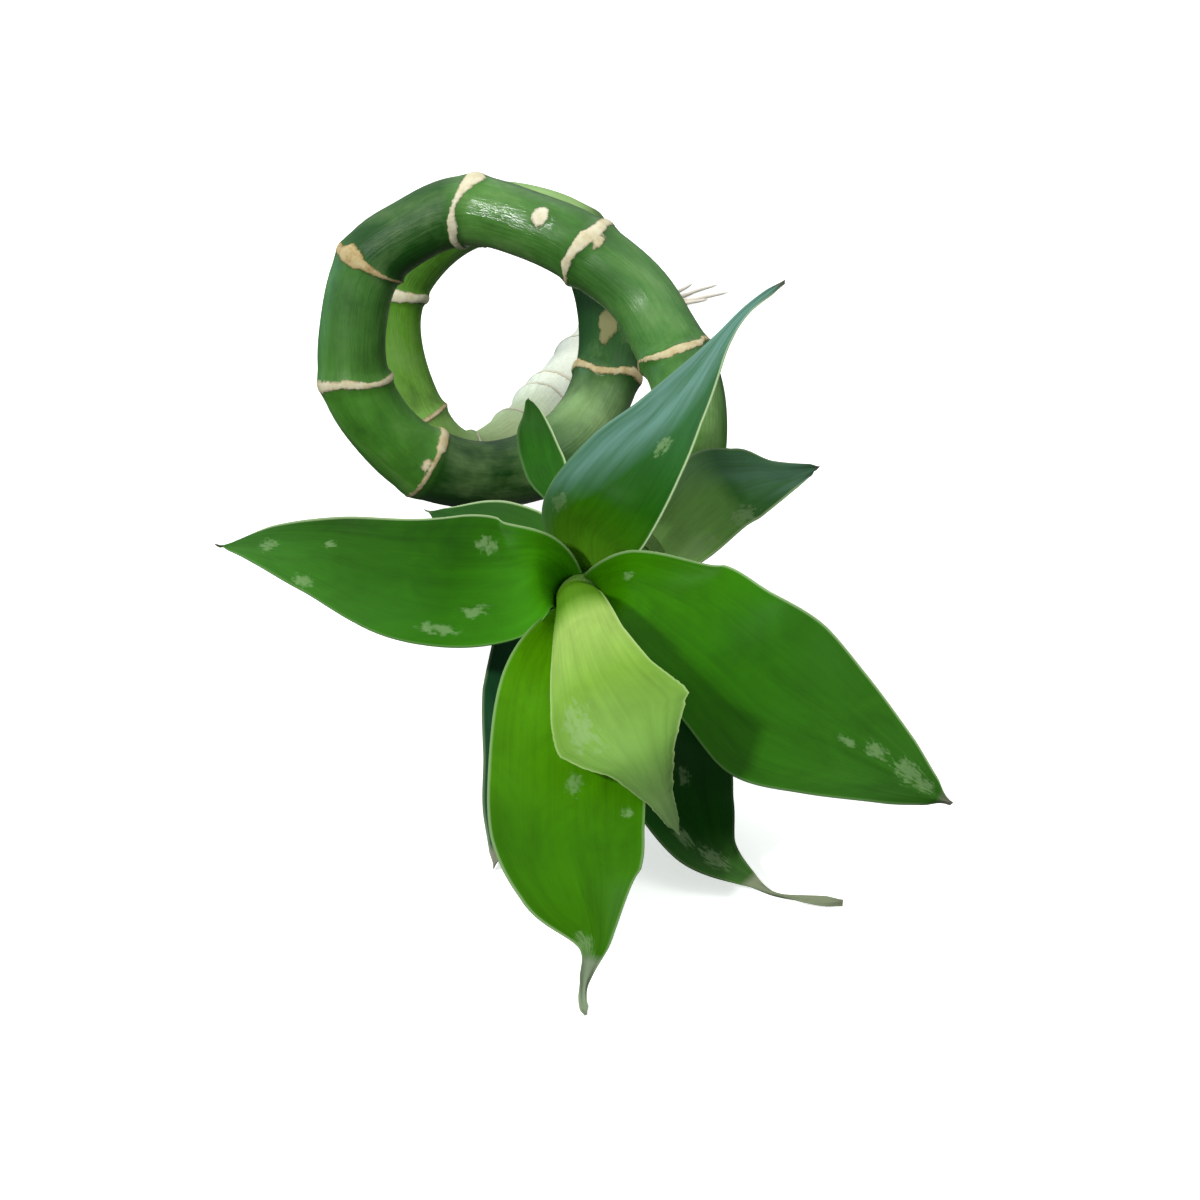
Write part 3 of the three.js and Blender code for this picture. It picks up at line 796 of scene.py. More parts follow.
@dataclass(frozen=True)
class RootFinish:
    """Young root: a dull, corky skin, pale tan and almost white towards its tip.

    Attributes:
        name: The material's name.
        skin: Colour where a root starts.
        tip: Colour at its tip.
    """

    name: str = "corky_root"
    skin: str = "#e6d9bc"
    tip: str = "#f2ece0"

    def material(self) -> bpy.types.Material:
        """Builds the roots' material from the mesh's attribute reach.

        Returns:
            The material.
        """
        made, tree = new_material(self.name)
        reach = add_node(tree, "Attribute", {"attribute_name": "reach"}).outputs["Fac"]
        plain = add_node(
            tree, "Mix", {"data_type": "RGBA", "A": linear(self.skin), "B": linear(self.tip)},
            {"Factor": reach})
        shader = add_node(
            tree, "BsdfPrincipled", {"IOR": 1.45, "Roughness": 0.7}, {"Base Color": plain})
        add_node(tree, "OutputMaterial", {}, {"Surface": shader})
        return made


# ---------------------------------------------------------------- tubes


def tube(
    bm: bmesh.types.BMesh,
    rows: int,
    sides: int,
    place: Callable[[int, int], Vector],
    mark: Callable[[bmesh.types.BMVert, int, int], None] | None = None,
) -> None:
    """Bends a grid into a closed tube and adds it to a mesh.

    Args:
        bm: The mesh that takes the tube.
        rows: How many rings of points it has.
        sides: How many points a ring has.
        place: Gives a point's place in metres from the number of its ring and its side.
        mark: Writes a point's attributes from the same two numbers.
    """
    made = bmesh.ops.create_grid(bm, x_segments=rows - 1, y_segments=sides, size=1.0)
    verts = made["verts"]
    for vert in verts:
        row = round((vert.co.x + 1) / 2 * (rows - 1))
        side = round((vert.co.y + 1) / 2 * sides) % sides
        vert.co = place(row, side)
        if mark:
            mark(vert, row, side)
    bmesh.ops.remove_doubles(bm, verts=verts, dist=MERGED)
    rim = [e for e in bm.edges if e.is_boundary]
    bmesh.ops.holes_fill(bm, edges=rim, sides=0)
    bmesh.ops.recalc_face_normals(bm, faces=bm.faces[:])


# ---------------------------------------------------------------- the cane


@dataclass
class Cane:
    """The cane in one piece: pale foot, rear coil, near coil and the shoot under the leaves."""

    line: CaneLine
    finish: CaneFinish = CaneFinish()
    sides: int = 64
    plain_step: float = 1.3        # between rings of the mesh where the cane is plain
    fine_step: float = 0.3         # and beside a leaf scar
    fine_margin: float = 1.0       # how far the fine rings go past a scar
    ridge_height: float = 0.4      # how far the cane swells at a node
    ridge_reach: float = 2.4       # from the top of the swelling to plain cane
    lip_height: float = 0.14       # how far a scar's dry skin stands out
    lip_edge: tuple[float, float] = (-0.25, 0.1)   # past a scar's rim, while that comes to none
    lump_height: float = 0.1       # of the skin's uneven places
    lumps_across: float = 1.6      # how many lie across half of the cane
    lumps_along: float = 0.12      # and in a millimetre along it
    plain_radius: float = 2.0      # thinner ends of the cane have no ridge, lip or lump
    axis_radius: float = 0.02      # of the smallest ring of the cut end
    girth_radius: float = 5.5      # by which angles round the cane are turned into millimetres
    # How far inside the cut end a ring of it lies, and its share of the foot's radius.
    cut_end: tuple[tuple[float, float], ...] = (
        (0.0, 0.0), (0.0, 0.5), (0.0, 0.97), (0.25, 1.0), (2.0, 1.0),
    )
    # How far past the shoot's tip a ring of its blunt end lies, and its share of the radius.
    blunt_end: tuple[tuple[float, float], ...] = (
        (0.5, 0.9), (1.0, 0.75), (1.35, 0.55), (1.5, 0.3), (1.5, 0.01),
    )

    def stations(self) -> list[Station]:
        """Spaces rings of the mesh along the cane, closer beside the scars.

        Returns:
            The stations, with the face carried along them.
        """
        total = self.line.fine[-1]
        fine = []
        for ring in RINGS:
            node = self.line.travel_of(ring.node)
            first, last = ring.reach()
            fine.append((node + first - self.fine_margin, node + last + self.fine_margin))
        for eye in EYES:
            middle = self.line.travel_of(eye.node) + eye.ahead
            fine.append((middle - eye.length, middle + eye.length))
        places = []
        travel = 0.0
        while travel < total:
            places.append(travel)
            near = any(first < travel < last for first, last in fine)
            travel += self.fine_step if near else self.plain_step
        found = [self.line.station(self.line.share_at(t, self.line.fine), t) for t in places]
        found.append(self.line.station(1.0, total))
        face = Vector((0, 0, 1)).cross(found[0].along)
        for station in found:
            face = upright_to(face, station.along)
            station.face = face
        foot, tip = found[0], found[-1]
        opening = []
        for inside, share in self.cut_end:
            depth = FOOT_LENGTH - inside
            radius = max(foot.radius * share, self.axis_radius)
            spot = foot.point - foot.along * depth
            opening.append(Station(spot, foot.along, radius, -depth, 0.0, foot.face))
        closing = []
        for depth, share in self.blunt_end:
            radius = tip.radius * share
            spot = tip.point + tip.along * depth
            closing.append(Station(spot, tip.along, radius, total + depth, 1.0, tip.face))
        return opening + found + closing

    def mark_at(self, travel: float, angle: float) -> tuple[float, float, float]:
        """Measures how far a place on the skin is from the nearest scar.

        Args:
            travel: Millimetres along the cane.
            angle: Degrees from the side that faces the viewer.

        Returns:
            The distance to that scar's rim in millimetres, negative inside it, its tone, and the
            distance along the cane to the middle of the nearest ring.
        """
        best, tone, nearest = FAR, PLAIN_TONE, FAR
        for ring in RINGS:
            offset, half = ring.read(angle)
            away = abs(travel - self.line.travel_of(ring.node) - offset)
            nearest = min(nearest, away)
            if away - half < best:
                best, tone = away - half, ring.tone
        for eye in EYES:
            away = travel - self.line.travel_of(eye.node) - eye.ahead
            turn = (angle - eye.angle + 180) % 360 - 180
            across = math.radians(turn) * self.girth_radius
            reach = math.hypot(away / eye.length, across / eye.width)
            distance = (reach - 1) * min(eye.length, eye.width)
            if distance < best:
                best, tone = distance, eye.tone
        return best, tone, nearest

    def build(self) -> bpy.types.Object:
        """Makes the cane's mesh, its attributes and its material.

        Returns:
            The finished piece.
        """
        stations = self.stations()
        bm = bmesh.new()
        skin_layer = bm.verts.layers.float_vector.new("skin")
        grow_layer = bm.verts.layers.float.new("grow")
        scar_layer = bm.verts.layers.float.new("scar")
        tone_layer = bm.verts.layers.float.new("tone")
        table: dict[tuple[int, int], tuple[Vector, Vector, float, float]] = {}
        for row, station in enumerate(stations):
            viewer = upright_to(VIEWER, station.along)
            outer = viewer.cross(station.along)
            across = station.along.cross(station.face)
            for side in range(self.sides):
                turn = math.tau * side / self.sides
                way = station.face * math.cos(turn) + across * math.sin(turn)
                angle = math.degrees(math.atan2(way.dot(outer), way.dot(viewer)))
                scar, tone, near = self.mark_at(station.travel, angle)
                swell = self.ridge_height * (1 - smoothstep(0, self.ridge_reach, near))
                lip = self.lip_height * (1 - smoothstep(*self.lip_edge, scar))
                lumps = Vector((way.x * self.lumps_across, way.y * self.lumps_across,
                                station.travel * self.lumps_along))
                lump = self.lump_height * noise.noise(lumps)
                relief = swell + lip + lump if station.radius > self.plain_radius else 0
                place = station.point + way * (station.radius + relief)
                place.z = max(place.z, 0.0)
                skin = Vector((math.cos(turn), math.sin(turn), 0)) * self.girth_radius
                skin.z = station.travel
                table[row, side] = (to_part(place), skin, scar, tone)

        def mark(vert: bmesh.types.BMVert, row: int, side: int) -> None:
            """Writes the skin's attributes to one point.

            Args:
                vert: The point.
                row: The number of its ring.
                side: Its number in that ring.
            """
            _, skin, scar, tone = table[row, side]
            vert[skin_layer] = skin
            vert[grow_layer] = stations[row].share
            vert[scar_layer] = scar
            vert[tone_layer] = tone

        tube(bm, len(stations), self.sides, lambda row, side: table[row, side][0], mark)
        piece = mesh_piece(bm, "cane")
        piece.data.materials.append(self.finish.material())
        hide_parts("stalk")
        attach(piece, "root")
        return piece


# ---------------------------------------------------------------- leaves


@dataclass
class Leaf:
    """One leaf: a thin blade whose foot is rolled round the shoot.

    Attributes:
        node: The solid that it stands for.
        back: How far behind the shoot's tip it is fixed.
        out: Which way it leaves the shoot.
        wrap: How far its foot is rolled to the left and to the right, in radians.
        curl: How far the open blade's sides are curled up, in radians.
        wave: The height of its waves.
        face: Where the middle of its upper face looks.
        rib: Its midrib: place of each point and the blade's width to the left and right there.
        finish: What it is made of.
        scuffs: Where its skin is rubbed: share of the rows from the foot, side from -1 on the left
            to 1 on the right, and radius in millimetres.
        slot: The record's slot for its finish; not used.
        crisp: How much of its outline is straight between the midrib's points.
        torn: How ragged the outer half of its outline is, in millimetres.
        midrib: The line from its foot to its tip, once it is laid out.
        lefts: Its widths to the left at the midrib's points, those at the foot before the others.
        rights: The same to the right.
        frames: The midrib's direction and the way out of the upper face, at each row.
    """

    node: str
    back: float
    out: tuple[float, float, float]
    wrap: tuple[float, float]
    curl: float
    wave: float
    face: tuple[float, float, float]
    rib: tuple[tuple[float, float, float, float, float], ...]
    finish: BladeFinish
    scuffs: tuple[tuple[float, float, float], ...] = ()
    slot: Slot = Slot.LEAF
    crisp: float = 0.0
    torn: float = 0.0
    rows: int = 112
    columns: int = 32
    thickness: float = 0.35
    margin_share: float = 0.45     # how much of the thickness is left at the margin
    margin_width: float = 1.2      # from the margin to the full thickness
    full_width: float = 5.0        # a narrower blade's rim is narrower in proportion
    least_half: float = 0.08       # half of the narrowest width
    sheath: float = 2.3            # how far the foot runs along the shoot
    foot_gap: float = -0.1         # the foot grows out of the shoot, a little below its skin
    turning: tuple[float, float] = (0.08, 0.35)   # shares of the rows, while it turns to its face
    open_from: float = 0.4         # share of the rows past which it is unrolled
    point_from: float = 0.95       # share of the rows past which its tip narrows
    pointed: float = 0.8           # how much of its width the tip loses
    waves: float = 2.5             # from the foot to the tip
    wave_lead: float = 0.25        # by how much of a wave a margin is ahead of the midrib
    torn_from: tuple[float, float] = (0.5, 0.6)   # shares of the rows, while the tears set in
    tears: float = 70.0            # from the foot to the tip, if all of it were torn
    scuff_squash: float = 0.6      # width of a rubbed place for each millimetre of its length
    midrib: SmoothLine = field(init=False)
    lefts: list[float] = field(init=False)
    rights: list[float] = field(init=False)
    frames: list[tuple[Vector, Vector]] = field(init=False)

    def lay_out(self, line: CaneLine) -> None:
        """Lays the midrib, the widths and the way the blade faces at each row.

        Args:
            line: The cane's line, which the foot is rolled round.
        """
        ends = []
        for back in (self.back, self.back - self.sheath):
            station = line.beside_shoot(max(back, 0.0))
            out = upright_to(Vector(self.out), station.along)
            stand_off = station.radius + self.foot_gap + self.thickness / 2
            ends.append((station.point + out * stand_off, out, stand_off))
        first_out, stand_off = ends[0][1:]
        self.midrib = SmoothLine([ends[0][0], ends[1][0]] + [Vector(p[:3]) for p in self.rib])
        self.lefts = [self.wrap[0] * stand_off] * 2 + [p[3] for p in self.rib]
        self.rights = [self.wrap[1] * stand_off] * 2 + [p[4] for p in self.rib]
        face = -first_out
        carried = []
        for row in range(self.rows + 1):
            along = self.midrib.way(row / self.rows)
            face = upright_to(face, along)
            carried.append((along, face))
        along, middle = carried[self.rows // 2]
        wanted = upright_to(Vector(self.face), along)
        turn = math.atan2(wanted.dot(along.cross(middle)), wanted.dot(middle))
        self.frames = []
        for row, (along, plain) in enumerate(carried):
            part = smoothstep(*self.turning, row / self.rows)
            self.frames.append((along, Quaternion(along, turn * part) @ plain))

    def half_width(self, widths: list[float], t: float) -> float:
        """Gives the width of one half of the blade.

        Args:
            widths: That half's widths at the midrib's points.
            t: 0 at the foot and 1 at the tip.

        Returns:
            The width there, in millimetres.
        """
        last = len(widths) - 1
        span = min(int(t * last), last - 1)
        straight = lerp(widths[span], widths[span + 1], t * last - span)
        ragged = noise.noise(Vector((t * self.tears, sum(widths), 0)))
        tear = self.torn * smoothstep(*self.torn_from, t) * ragged
        return lerp(smooth_value(widths, t), straight, self.crisp) + tear

    def place(self, row: int, part: float) -> tuple[Vector, Vector, float]:
        """Gives a point of the blade's middle surface.

        Args:
            row: The number of its row, 0 at the foot.
            part: 0 at the left margin and 1 at the right.

        Returns:
            The place in the layout's millimetres, the way out of the upper face there, and the
            blade's width there.
        """
        t = row / self.rows
        along, face = self.frames[row]
        across = along.cross(face)
        opened = smoothstep(1 / (len(self.lefts) - 1), self.open_from, t)
        half_angle = lerp(sum(self.wrap) / 2, self.curl, opened)
        point = 1 - self.pointed * smoothstep(self.point_from, 1.0, t)
        left = max(self.half_width(self.lefts, t) * point, self.least_half)
        right = max(self.half_width(self.rights, t) * point, self.least_half)
        radius = (left + right) / (2 * half_angle)
        side = 2 * part - 1
        angle = lerp(-left, right, part) / radius
        phase = math.tau * (self.waves * t + self.wave_lead * side)
        ripple = self.wave * side * side * opened * math.sin(phase)
        spot = (
            self.midrib.at(t) + across * (radius * math.sin(angle))
            + face * (radius * (1 - math.cos(angle)) + ripple)
        )
        return spot, face * math.cos(angle) - across * math.sin(angle), left + right

    def rubbed_at(self, row: int, side: float, width: float, travels: list[float]) -> float:
        """Tells how rubbed the skin is at a point.

        Args:
            row: The number of the point's row.
            side: -1 at the left margin and 1 at the right.
            width: The blade's width there, in millimetres.
            travels: The length along the midrib up to each row.

        Returns:
            1 in the middle of a rubbed spot, and 0 away from them.
        """
        most = 0.0
        for share, aside, radius in self.scuffs:
            ahead = travels[row] - travels[round(share * self.rows)]
            distance = math.hypot(self.scuff_squash * ahead, (side - aside) * width / 2)
            most = max(most, 1 - smoothstep(0.0, 2 * radius, distance))
        return most

    def build(self, line: CaneLine, shoot: "ShootSkin") -> bpy.types.Object:
        """Makes the leaf's mesh, its attributes and its material.

        Args:
            line: The cane's line.
            shoot: The skin of the shoot, which the middle of the blade keeps clear of.

        Returns:
            The finished piece.
        """
        self.lay_out(line)
        bm = bmesh.new()
        blade_layer = bm.verts.layers.float_vector.new("blade")
        growth_layer = bm.verts.layers.float_vector.new("growth")
        depth_layer = bm.verts.layers.float_vector.new("depth")
        bmesh.ops.create_grid(bm, x_segments=self.rows, y_segments=self.columns, size=1.0)
        travels = [0.0]
        for row in range(self.rows):
            step = self.midrib.at((row + 1) / self.rows) - self.midrib.at(row / self.rows)
            travels.append(travels[-1] + step.length)
        for vert in bm.verts:
            row = round((vert.co.x + 1) / 2 * self.rows)
            part = (vert.co.y + 1) / 2
            spot, normal, width = self.place(row, part)
            rim = min(part, 1 - part) * max(width, self.full_width)
            gained = smoothstep(0.0, self.margin_width, rim)
            depth = self.thickness * lerp(self.margin_share, 1.0, gained)
            spot = shoot.clear(spot, self.foot_gap + self.thickness / 2) + normal * (depth / 2)
            spot.z = max(spot.z, self.thickness)
            vert.co = to_part(spot)
            vert[blade_layer] = Vector((2 * part - 1, travels[row], rim))
            rubbed = self.rubbed_at(row, 2 * part - 1, width, travels)
            vert[growth_layer] = Vector((row / self.rows, 0.0, rubbed))
            vert[depth_layer] = normal * (-depth * MM)
        walls = bmesh.ops.extrude_face_region(bm, geom=bm.faces[:], use_keep_orig=True)
        for vert in walls["geom"]:
            if isinstance(vert, bmesh.types.BMVert):
                vert.co += vert[depth_layer]
                vert.co.z = max(vert.co.z, 0.0)
                upper = vert[growth_layer]
                vert[growth_layer] = Vector((upper.x, 1.0, upper.z))
        bmesh.ops.recalc_face_normals(bm, faces=bm.faces[:])
        sort_faces(bm)
        piece = mesh_piece(bm, self.node + "_blade")
        piece.data.materials.append(self.finish.material())
        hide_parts(self.node)
        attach(piece, "root")
        return piece


class ShootSkin:
    """The skin of the shoot, from which blades are pushed clear."""

    SAMPLES = 160   # how many stretches the shoot is measured in

    def __init__(self, line: CaneLine) -> None:
        """Samples the shoot's part of the cane's line.

        Args:
            line: The cane's line.
        """
        first = (len(NODES) - 1) / SPANS
        shares = [lerp(first, 1.0, i / self.SAMPLES) for i in range(self.SAMPLES + 1)]
        self.stations = [line.station(share) for share in shares]
        self.tree = kdtree.KDTree(len(self.stations))
        for i, station in enumerate(self.stations):
            self.tree.insert(station.point, i)
        self.tree.balance()

    def clear(self, spot: Vector, gap: float) -> Vector:
        """Moves a point out of the shoot.

        Args:
            spot: The point.
            gap: How far off the skin it stays.

        Returns:
            The same point, or the nearest one that is clear of the shoot.
        """
        _, number, distance = self.tree.find(spot)
        station = self.stations[number]
        if number == len(self.stations) - 1:
            return spot
        wanted = station.radius + gap
        if distance >= wanted or distance < 1e-6:
            return spot
        return station.point + (spot - station.point).normalized() * wanted


LEAVES = (
    Leaf(
        "leaf_young", back=2.3, out=(0.1, 0.1, 1), wrap=(1.7, 1.3), curl=0.45, wave=0,
        face=(0.2, 0.77, -0.56),
        rib=((-3, -73, 31, 4.5, 3), (-1.5, -89.5, 32, 6, 4.5), (0, -97.5, 30.5, 7.5, 6.5),
             (2, -101.5, 27, 8.7, 9.3), (4.5, -105, 23.2, 4, 5), (7, -104.5, 17.6, 1.25, 2),
             (9.5, -102.5, 12, 0.5, 0.5)),
        finish=BladeFinish(
            "young_blade",
            # The dark olive up to share 0.3 is painted shade where the foot lies deep in the rosette.
            ((0.28, "#4d7a12"), (0.3, "#6b9430"), (0.33, "#92b154"), (0.5, "#719a36"),
             (0.75, "#6f9a46"), (0.95, "#82a766")),
            turned=0, side_light=-0.05, cloudy=0.6, rimmed=(0.4, 0.4), margin="#b4cc8c",
            withered=0.99, scuff="#93b07c"),
        scuffs=((0.6, -0.55, 2.2),), slot=Slot.YOUNG, crisp=0.85, torn=0.35),
    Leaf(
        "leaf_front", back=5.2, out=(-0.3, 0, -1), wrap=(0.9, 0.95), curl=0.3, wave=0.4,
        face=(0, -0.5, 0.9),
        rib=((-4, -73.2, 21, 6, 6.9), (-4.5, -87.5, 22, 8.75, 8.5), (-4, -99, 18.6, 9.5, 9.5),
             (-4, -107, 14.2, 9.4, 9), (-3, -113, 11, 8, 6.5), (-1, -117.3, 6, 2.2, 1.7),
             (-1.8, -119.8, 3, 0.7, 0.6), (-2, -121.4, 1.5, 0.5, 0.5),
             (-1.6, -123, 0.5, 0.5, 0.5)),
        finish=BladeFinish(
            "front_blade", ((0.12, "#5aa000"), (0.5, "#306800"), (0.92, "#316602")),
            rimmed=(0.2, 0.35), withered=0.72, dry="#78886c", seed=3.0),
        scuffs=((0.42, -0.09, 1.2), (0.46, -0.78, 0.8), (0.7, 0.5, 1.2)), slot=Slot.BRIGHT),
    Leaf(
        "leaf_right", back=8.1, out=(0.9, 0, 0.4), wrap=(0.95, 0.9), curl=0.3, wave=0.5,
        face=(0.1, -0.75, 0.65),
        rib=((4, -67, 27.5, 6, 5), (8, -74.5, 26, 11.7, 7), (14.5, -81, 23.5, 12.3, 8),
             (22, -85, 20, 12.25, 11), (29.5, -88.5, 17, 9.25, 8.5), (37, -91, 13.5, 5.25, 4.25),
             (44, -92, 10, 0.5, 0.5)),
        finish=BladeFinish(
            "right_blade", ((0.12, "#357400"), (0.5, "#256000"), (0.92, "#2c5c16")),
            side_light=-0.1, rimmed=(0.45, 0.1), withered=0.965, seed=7.0),
        scuffs=((0.77, -0.03, 0.8), (0.82, -0.16, 1.2), (0.89, -0.16, 1.6), (0.93, -0.09, 1.2),
                (0.23, -0.34, 0.8)),
        slot=Slot.BRIGHT),
    Leaf(
        "leaf_left", back=10.5, out=(-0.8, 0, 0.3), wrap=(0.6, 1.22), curl=0.3, wave=0.5,
        face=(-0.1, -0.5, 0.86),
        rib=((-8.5, -61.5, 26.5, 4.2, 7.3), (-12.5, -64, 27.3, 9.1, 9.7),
             (-20, -64.5, 28, 11.7, 10.2), (-29, -61, 27.5, 9.5, 9), (-38, -57, 27.5, 5.3, 7),
             (-47, -50, 26.5, 2.75, 3.6), (-54.5, -44.5, 24.5, 0.5, 0.5)),
        finish=BladeFinish(
            "left_blade",
            ((0.12, "#4aa000"), (0.32, "#34780a"), (0.5, "#1f5400"), (0.92, "#31631a")),
            side_light=-0.25, rimmed=(0.1, 0.55), withered=0.975, seed=11.0),
        scuffs=((0.42, 0.59, 1.4), (0.45, -0.41, 1.2), (0.5, -0.72, 1.3), (0.87, 0.03, 1.2),
                (0.75, 0.34, 0.8), (0.76, -0.78, 1.2))),
    Leaf(
        "leaf_upper", back=14.4, out=(0.35, 0.3, 1), wrap=(0.6, 0.6), curl=0.5, wave=0.3,
        face=(-0.3, -0.9, 0.3),
        rib=((-1, -55.5, 31, 7, 5.5), (0.5, -58.5, 36.5, 7.75, 8.5), (3.5, -55.5, 42, 5.9, 9),
             (7.5, -49, 46, 3, 7.5), (12, -39.5, 49, 1, 5.6), (17.2, -31, 51, 1, 2),
             (20.9, -24.5, 53, 0.5, 1.2), (27.5, -15, 54.5, 0.5, 0.5)),
        finish=BladeFinish(
            "upper_blade",
            # The pale green at the foot is painted light over the shade that the other blades cast
            # there.
            ((0.12, "#6aa820"), (0.22, "#4a8414"), (0.36, "#1a5000"), (0.92, "#3c6a4c")),
            # A painted highlight mostly on the right rim, and a strong painted sky sheen.
            rimmed=(0.1, 0.75), sheened=0.8, bloom_and_sheen="#668f84", seed=17.0),
        scuffs=((0.49, 0.28, 1.2), (0.29, -0.72, 1.2))),
    Leaf(
        "leaf_hanging_right", back=20, out=(0.6, 0, -0.8), wrap=(0.6, 0.6), curl=0.3, wave=0.4,
        face=(0.3, -0.8, 0.5),
        rib=((8, -71.5, 13, 4, 4), (10.5, -79.5, 10, 6.5, 9), (12, -86, 6.5, 5.5, 9.4),
             (14, -92.3, 3.4, 3.5, 5.5), (18.3, -97, 2, 1.4, 1.2), (21.5, -99.2, 1.4, 0.6, 0.6),
             (25, -99.9, 1, 0.75, 0.6), (30, -100.2, 0.7, 0.5, 0.5)),
        finish=BladeFinish(
            # The near-black green is painted shade, for the shadow of the blades above it.
            "hanging_right_blade", ((0.12, "#003c00"), (0.5, "#0e4404"), (0.92, "#56783e")),
            rimmed=(0.1, 0.1), withered=0.66, dry="#7d866a", seed=23.0),
        scuffs=((0.38, -0.16, 1), (0.52, 0.28, 1.2), (0.58, -0.03, 1.6))),
    Leaf(
        "leaf_small", back=27, out=(-0.5, 0.4, 0.8), wrap=(0.45, 0.45), curl=0.3, wave=0.2,
        face=(0.2, -0.9, 0.3),
        rib=((-5.5, -38, 30, 3.4, 2.5), (-8.5, -29, 31.5, 3.3, 3.25), (-9.5, -22, 33, 3, 2.5),
             (-10.5, -15.5, 34, 1.25, 1.5), (-11, -12, 35, 0.5, 0.5)),
        finish=BladeFinish(
            "small_blade", ((0.12, "#1f5404"), (0.5, "#225a0c"), (0.92, "#204a10")),
            rimmed=(0.1, 0.75), seed=29.0)),
    Leaf(
        "leaf_hidden_right", back=29.6, out=(0.2, 0, -1), wrap=(0.4, 0.4), curl=0.3, wave=0.3,
        face=(0.1, -0.6, 0.8),
        rib=((12.5, -42, 17, 2.4, 2), (15, -43, 12, 2.6, 2.2), (17, -42, 6, 0.5, 0.5)),
        finish=BladeFinish(
            "hidden_blade", ((0.12, "#30631f"), (0.5, "#2c5a20"), (0.92, "#2a5a24")),
            rimmed=(0.6, 0.6), seed=31.0)),
    Leaf(
        "leaf_rear_left", back=22.9, out=(-1, 0.1, 0.2), wrap=(0.5, 0.45), curl=0.3, wave=0.4,
        face=(-0.1, -0.6, 0.8),
        rib=((-7, -45.5, 24.5, 3.5, 3.5), (-11.5, -43, 25.5, 6, 4.7), (-17, -40, 25.7, 5.5, 4),
             (-25.5, -35, 26, 0.5, 0.5)),
        finish=BladeFinish(
            "rear_left_blade", ((0.12, "#3c6e18"), (0.5, "#2e5c18"), (0.92, "#26501c")),
            rimmed=(0.2, 0.75), seed=37.0)),
    Leaf(
        "leaf_rear_right", back=26, out=(0.9, -0.3, 0.3), wrap=(1.2, 0.95), curl=0.3, wave=0.4,
        face=(0.2, -0.75, 0.6),
        rib=((17.5, -43, 30.5, 8.3, 4.7), (21, -41, 32, 6, 4.6), (26.5, -33, 30.5, 2.75, 2.75),
             (33, -22, 27.5, 0.5, 0.5)),
        finish=BladeFinish(
            "rear_right_blade",
            ((0.12, "#a4cf78"), (0.35, "#6b9a4a"), (0.5, "#346428"), (0.92, "#2c5c2c")),
            # A faint painted sky sheen, and painted highlights on both rims.
            rimmed=(0.3, 0.45), sheened=0.2, seed=41.0),
        scuffs=((0.3, 0.6, 2.2), (0.45, 0.75, 1.6))),
    Leaf(
        "leaf_hanging_left", back=16.7, out=(-0.9, 0, -0.6), wrap=(0.6, 0.6), curl=0.3, wave=0.4,
        face=(-0.1, -0.8, 0.5),
        rib=((-3, -52, 17, 4, 11), (-9.5, -70, 12.5, 6.25, 6.6), (-11, -78.5, 8.5, 7, 4.4),
             (-12, -85.5, 4.5, 5.25, 3.2), (-13.5, -92, 0.6, 0.5, 0.5)),
        finish=BladeFinish(
            "hanging_left_blade", ((0.12, "#1d4a24"), (0.5, "#1d4a2a"), (0.92, "#2c503a")),
            rimmed=(0.3, 0.3), withered=0.93, seed=43.0)),
)


# ---------------------------------------------------------------- roots


